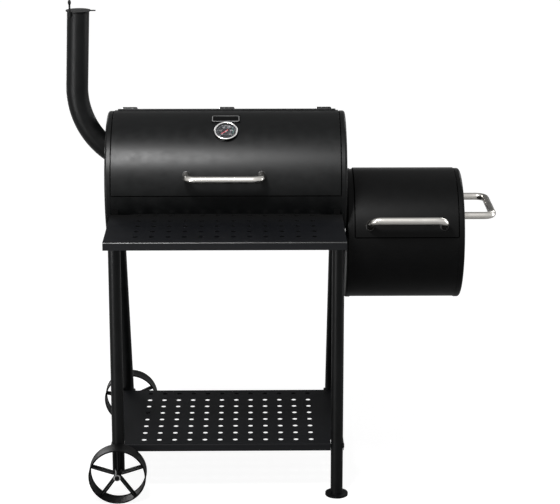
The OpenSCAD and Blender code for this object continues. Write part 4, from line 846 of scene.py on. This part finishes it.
def seam(name, axis_z, radius, x0, x1):
    """The rolled drum's own weld along its length: a low bead, sunk by nearly half. Its
    ripples swell its radius as a rectified sine of the length along it."""
    inset, sunk, bead, ripple, pitch = 0.016, 0.0006, 0.0013, 0.18, 0.005
    path = drum_point(SEAM_DEG, radius - sunk, np.linspace(x0 + inset, x1 - inset, 240),
                      axis_z)
    grid = sweep(path, circle(bead, 8), drum_normal(SEAM_DEG), False)
    swell = 1.0 + ripple * np.abs(np.sin(math.pi * length_along(path) / pitch))
    grid = path[:, None] + (grid - path[:, None]) * swell[:, None, None]
    tube(name, grid, RUBBED_BLACK, "smoker_frame", "black_paint")


seam("drum_seam_weld", DRUM_Z, DRUM_R, end("drum_shell", 0, 0), end("drum_shell", 0, 1))
seam("firebox_seam_weld", FIRE_Z, FIRE_R, FIRE_X0, FIRE_X1)


def chimney_rim():
    """A bead round the chimney's mouth: a circle about the upright pipe's own line."""
    pipe_r, bead = 0.0286, 0.0009
    ring_r, ring_z = pipe_r + 0.0001, end("chimney_pipe", 2, 1) - 0.0012
    pipe_x = end("chimney_damper", 0, 0) + pipe_r + 0.0035
    t = np.linspace(0.0, math.tau, 72, endpoint=False)
    path = np.stack([pipe_x + ring_r * np.cos(t), AXIS_Y + ring_r * np.sin(t),
                     np.full_like(t, ring_z)], 1)
    tube("chimney_rim_bead", sweep(path, circle(bead, 8), (0, 0, 1), True), BLACK,
         "smoker_frame", "black_paint", closed=True)


chimney_rim()


def shelf_bend_painted_highlight():
    """Painted highlight on the front shelf's folded edge: a thin skin over the rounded
    bend in the lighter, glossier rubbed black. Its outline is a band between two arcs of
    a hundred degrees, whose outer one rises from the bend as a squared sine, carried in a
    straight line from end to end."""
    proud, sunk, short = 0.00008, 0.0002, 0.0001
    t = np.radians(np.linspace(-5.0, 95.0, 15))
    arc = np.stack([np.cos(t), np.sin(t)], 1)
    rise = proud * np.sin(np.clip(3 * t, 0, math.pi / 2)) ** 2
    outline = np.concatenate([(BEND_R + rise)[:, None] * arc,
                              (BEND_R - sunk) * arc[::-1]], 0)
    y, z = end("front_shelf", 1, 0) + BEND_R, SHELF_TOP - BEND_R
    path = np.linspace((end("front_shelf", 0, 0) + short, y, z),
                       (end("front_shelf", 0, 1) - short, y, z), 80)
    tube("front_shelf_bend", sweep(path, outline, (0, 0, 1), False), WORN_AND_SHEEN_BLACK,
         "smoker_frame", "shelf_paint")


shelf_bend_painted_highlight()

# ---- Wheels ----

SPOKES = 5
SPOKE_W, SPOKE_T, SPOKE_FLAT = 0.0048, 0.0047, 0.0036
SPOKE_BOX = [(-SPOKE_W, SPOKE_FLAT), (-SPOKE_W, -SPOKE_FLAT), (-SPOKE_FLAT, -SPOKE_T),
             (SPOKE_FLAT, -SPOKE_T), (SPOKE_W, -SPOKE_FLAT), (SPOKE_W, SPOKE_FLAT),
             (SPOKE_FLAT, SPOKE_T), (-SPOKE_FLAT, SPOKE_T)]
# Cross-section of the thin raised rib along each spoke's faces, which wears the lighter,
# glossier black as a painted highlight line.
RIB = [(0.0014 * math.cos(a), SPOKE_T - 0.0002 + 0.0010 * math.sin(a))
       for a in np.linspace(0.0, math.pi, 9)]
RIM_HALF = [(0.0750, 0.0222), (0.0746, 0.0229), (0.0738, 0.0230), (0.0718, 0.0229),
            (0.0712, 0.0222), (0.0712, 0.0205), (0.0724, 0.0190)]
RIM = [*RIM_HALF, *((r, -h) for r, h in RIM_HALF[::-1]),
       (0.0750, -0.0205), (0.0748, -0.0190), (0.0748, 0.0190), (0.0750, 0.0205)]
REAR_TURN = math.radians(-8.0)


def wheel_middle(wheel):
    """Middle of a wheel."""
    return np.array([middle(wheel, axis) for axis in range(3)])


def spokes(name, wheel, outline, start, inset, material, phase, faces_out):
    """Spokes carried from start, their distance from the axle, to inset short of the
    wheel's tread: a cross-section (across, out) that keeps its thickness, with its width
    drawn in at both ends by the eighth root of a sine. phase turns them all, and
    faces_out lists the wheel's faces, -1 and 1, that they stand on."""
    centre, radius = wheel_middle(wheel), (end(wheel, 2, 1) - end(wheel, 2, 0)) / 2
    along = np.linspace(0.0, 1.0, 24)[:, None]
    width, out = np.asarray(outline, float).T
    fade = 0.75 + 0.25 * np.clip(np.sin(math.pi * along), 0.0, 1.0) ** 0.125
    far, across, out = (v[..., None] for v in np.broadcast_arrays(
        start + (radius - inset - start) * along, width * fade, out))
    points, faces = [], []
    for k in range(SPOKES):
        a = math.tau * k / SPOKES + phase
        ray = np.array([math.sin(a), 0.0, math.cos(a)])
        flank = np.array([math.cos(a), 0.0, -math.sin(a)])
        for way in faces_out:
            grid = with_ends(centre + far * ray + across * flank
                             + way * out * np.array([0.0, 1.0, 0.0]))
            faces.append(grid_faces(grid.shape[0], grid.shape[1], False, True)
                         + len(faces) * grid.shape[0] * grid.shape[1])
            points.append(grid.reshape(-1, 3))
    make_piece(name, np.concatenate(points, 0), np.concatenate(faces, 0), material, wheel,
               "black_paint", sharp=40.0)


for wheel, phase in (("front_wheel", 0.0), ("rear_wheel", REAR_TURN)):
    rim = revolve(f"{wheel}_rim", RIM, wheel_middle(wheel), (0, 1, 0), WHEEL_BLACK, wheel,
                  "black_paint", steps=160)
    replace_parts(rim, wheel)
    spokes(f"{wheel}_spokes", wheel, SPOKE_BOX, 0.0090, 0.0022, WHEEL_BLACK, phase, (1,))
    # The ribs' lighter, glossier black is a painted highlight line along each spoke.
    spokes(f"{wheel}_painted_highlight_ribs", wheel, RIB, 0.0105, 0.0028, WORN_AND_SHEEN_BLACK, phase, (-1, 1))

# ---- Damper's knob and the handles' feet ----

turned_knob = revolve(
    "damper_knob_turned",
    [(0.0, 0.0148), (0.0011, 0.0146), (0.0022, 0.0139), (0.0031, 0.0127),
     (0.0037, 0.0111), (0.0041, 0.0092), (0.0042, 0.0073), (0.0040, 0.0054),
     (0.0035, 0.0037), (0.0028, 0.0023), (0.0023, 0.0012), (0.0022, 0.0004),
     (0.0021, 0.0), (0.0, 0.0)],
    (middle("damper_knob", 0), middle("damper_knob", 1), end("damper_knob", 2, 0)),
    (0, 0, 1), BLACK, "damper", "black_paint", steps=32)
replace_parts(turned_knob, "damper_knob")


def foot_collar(name, base, normal, body):
    """A thin dished washer under a handle's foot."""
    revolve(name, [(BAR_R - 0.0012, -0.0004), (BAR_R - 0.0012, 0.0010),
                   (BAR_R + 0.0004, 0.0010), (BAR_R + 0.0010, 0.0007),
                   (BAR_R + 0.0013, 0.0002), (BAR_R + 0.0013, -0.0004)],
            base, normal, WORN_AND_SHEEN_BLACK, body, "black_paint", steps=48)


for k, s in enumerate((-BAR_SPAN / 2, BAR_SPAN / 2)):
    foot_collar(f"drum_lid_collar_{k}",
                drum_point(LID_HANDLE_DEG, LID_OUT, HANDLE_X + s, DRUM_Z),
                drum_normal(LID_HANDLE_DEG), "drum_lid")
    foot_collar(f"firebox_lid_collar_{k}",
                drum_point(FIRE_HANDLE_DEG, FIRE_LID_OUT, FIRE_LID_MID + s, FIRE_Z),
                drum_normal(FIRE_HANDLE_DEG), "firebox_lid")
    foot_collar(f"firebox_side_collar_{k}", (FIRE_X1, AXIS_Y + s, SIDE_HANDLE_Z),
                (1, 0, 0), "smoker_frame")

# ---- Studio ----

FILL_LEVEL = 0.24
ROOM_LEVEL, REAR_LEVEL = 0.90, 0.14
FLOOR_HALF, FLOOR_GREY, FLOOR_GLOW = 9.0, 0.35, 0.93
# Painted shade in the floor's reflections: its glow there runs from SHADE_LEVEL near the
# middle to OPEN_LEVEL from SHADE_TO out.
SHADE_LEVEL, OPEN_LEVEL = 0.19, 0.45
SHADE_FROM, SHADE_TO = 0.55, 1.50
KEY_PLACE, KEY_TARGET = (-0.75, -1.68, 2.92), (-0.15, 0.0, 0.75)


def backdrop_mask(tree):
    """1 for rays from the camera, a reflection or through glass, else 0."""
    path = tree.nodes.new("ShaderNodeLightPath")
    seen = maths(tree, "MAXIMUM", path.outputs["Is Camera Ray"],
                 path.outputs["Is Glossy Ray"])
    return maths(tree, "MAXIMUM", seen, path.outputs["Is Transmission Ray"])


def in_reflections(tree, mirrored):
    """1 for every ray but a reflection's, which gets the mirrored value."""
    path = tree.nodes.new("ShaderNodeLightPath")
    return blend_values(tree, path.outputs["Is Glossy Ray"], 1.0, mirrored)


def backdrop():
    """A white world. Reflections see it white low behind the object and a dim room
    elsewhere, and it lights the object with a low even fill."""
    world = bpy.data.worlds.new("studio")
    bpy.context.scene.world = world
    world.use_nodes = True
    tree = world.node_tree
    tree.nodes.clear()
    out = tree.nodes.new("ShaderNodeOutputWorld")
    way = add(tree, "ShaderNodeSeparateXYZ",
              {0: tree.nodes.new("ShaderNodeTexCoord").outputs["Generated"]})
    around = add(tree, "ShaderNodeMapRange",
                 {"Value": way.outputs["Y"], "From Min": -0.2, "From Max": 1.0,
                  "To Min": ROOM_LEVEL, "To Max": REAR_LEVEL})
    behind = add(tree, "ShaderNodeMapRange",
                 {"Value": way.outputs["Y"], "From Min": 0.975, "From Max": 0.998})
    mirrored = blend_values(tree, behind.outputs[0], around.outputs[0], 1.0)
    white = add(tree, "ShaderNodeBackground",
                {"Color": WHITE, "Strength": in_reflections(tree, mirrored)})
    fill = add(tree, "ShaderNodeBackground", {"Color": WHITE, "Strength": FILL_LEVEL})
    mix = add(tree, "ShaderNodeMixShader",
              {0: backdrop_mask(tree), 1: fill.outputs[0], 2: white.outputs[0]})
    tree.links.new(mix.outputs[0], out.inputs["Surface"])


def floor():
    """A white floor that keeps the shadow. Reflections see it with a painted shade near
    the object: its glow in them is dimmer close to the middle.
    """
    corners = [(-FLOOR_HALF, -FLOOR_HALF, 0.0), (FLOOR_HALF, -FLOOR_HALF, 0.0),
               (FLOOR_HALF, FLOOR_HALF, 0.0), (-FLOOR_HALF, FLOOR_HALF, 0.0)]
    mesh = bpy.data.meshes.new("floor")
    mesh.from_pydata(corners, [], [(0, 1, 2, 3)])
    ground = bpy.data.objects.new("floor", mesh)
    bpy.context.scene.collection.objects.link(ground)
    material = bpy.data.materials.new("studio floor")
    material.use_nodes = True
    tree = material.node_tree
    tree.nodes.clear()
    out = tree.nodes.new("ShaderNodeOutputMaterial")
    paint = add(tree, "ShaderNodeBsdfDiffuse",
                {"Color": (FLOOR_GREY, FLOOR_GREY, FLOOR_GREY, 1.0)})
    place = tree.nodes.new("ShaderNodeTexCoord")
    away = add(tree, "ShaderNodeVectorMath", {0: place.outputs["Object"]},
               operation="LENGTH")
    reflected_painted_shade = add(tree, "ShaderNodeMapRange",
                {"Value": away.outputs["Value"], "From Min": SHADE_FROM,
                 "From Max": SHADE_TO, "To Min": SHADE_LEVEL, "To Max": OPEN_LEVEL})
    masked = maths(tree, "MULTIPLY", backdrop_mask(tree),
                   in_reflections(tree, reflected_painted_shade.outputs[0]))
    glow = add(tree, "ShaderNodeEmission",
               {"Color": WHITE, "Strength": maths(tree, "MULTIPLY", masked, FLOOR_GLOW)})
    both = add(tree, "ShaderNodeAddShader", {0: paint.outputs[0], 1: glow.outputs[0]})
    tree.links.new(both.outputs[0], out.inputs["Surface"])
    mesh.materials.append(material)


def aim(place, target):
    """Turns local -Z to the target with the sides level."""
    back = np.subtract(place, target)
    back /= np.linalg.norm(back)
    right = np.cross((0.0, 0.0, 1.0), back)
    right /= np.linalg.norm(right)
    return placed(np.column_stack([right, np.cross(back, right), back]), place)


def lamp(name, place, target, width, height, power):
    """A rectangular soft lamp."""
    light = bpy.data.lights.new(name, "AREA")
    light.shape, light.size, light.size_y = "RECTANGLE", width, height
    light.energy = power
    holder = bpy.data.objects.new(name, light)
    holder.visible_camera = False
    holder.matrix_world = aim(place, target)
    bpy.context.scene.collection.objects.link(holder)
    return holder


def lamps():
    """The key lamp lights the object, and the sheens show only in its gloss."""
    lamp("key lamp", KEY_PLACE, KEY_TARGET, 0.60, 0.40, 42.0)
    for sheen in (
            ("key sheen", KEY_PLACE, KEY_TARGET, 0.64, 0.44, 172.0),
            ("left sheen", (-2.3, -2.2, 0.75), (-0.35, 0.0, 0.80), 0.70, 1.50, 60.0),
            ("right sheen", (2.2, 0.3, 0.80), (-0.35, 0.0, 0.80), 0.60, 1.40, 14.0),
            ("wheel sheen", (-1.5, 2.9, 0.30), (-0.43, -0.1, 0.15), 0.90, 0.80, 14.0),
            ("rear left sheen", (-2.1, 2.3, 2.20), (-0.1, 0.1, 0.80), 1.50, 1.20, 34.0),
            ("rear right sheen", (2.1, 2.3, 2.20), (0.1, 0.1, 0.70), 1.50, 1.20, 26.0)):
        lamp(*sheen).visible_diffuse = False


backdrop()
floor()
lamps()

CAMERA_PLACE = (-0.0745, -4.5504, 2.0021)
CAMERA_YAW, CAMERA_PITCH, CAMERA_ROLL = 0.01467, 0.29600, 0.00110
SENSOR, FOCAL_WIDTHS = 36.0, 1800.1 / 560.0


def camera():
    """A long lens from the front, a little above the object. Its yaw, pitch and roll
    give its three directions, and its focal length counts in widths of the image."""
    ahead = np.array([math.sin(CAMERA_YAW) * math.cos(CAMERA_PITCH),
                      math.cos(CAMERA_YAW) * math.cos(CAMERA_PITCH),
                      -math.sin(CAMERA_PITCH)])
    right = np.array([math.cos(CAMERA_YAW), -math.sin(CAMERA_YAW), 0.0])
    up = np.cross(right, ahead)
    side = math.cos(CAMERA_ROLL) * right + math.sin(CAMERA_ROLL) * up
    top = -math.sin(CAMERA_ROLL) * right + math.cos(CAMERA_ROLL) * up
    view = bpy.data.cameras.new("camera")
    view.sensor_width = SENSOR
    view.lens = FOCAL_WIDTHS * SENSOR
    holder = bpy.data.objects.new("camera", view)
    holder.matrix_world = placed(np.column_stack([side, top, -ahead]), CAMERA_PLACE)
    bpy.context.scene.collection.objects.link(holder)
    bpy.context.scene.camera = holder


camera()
bpy.context.scene.view_settings.view_transform = "Standard"

bpy.context.view_layer.update()
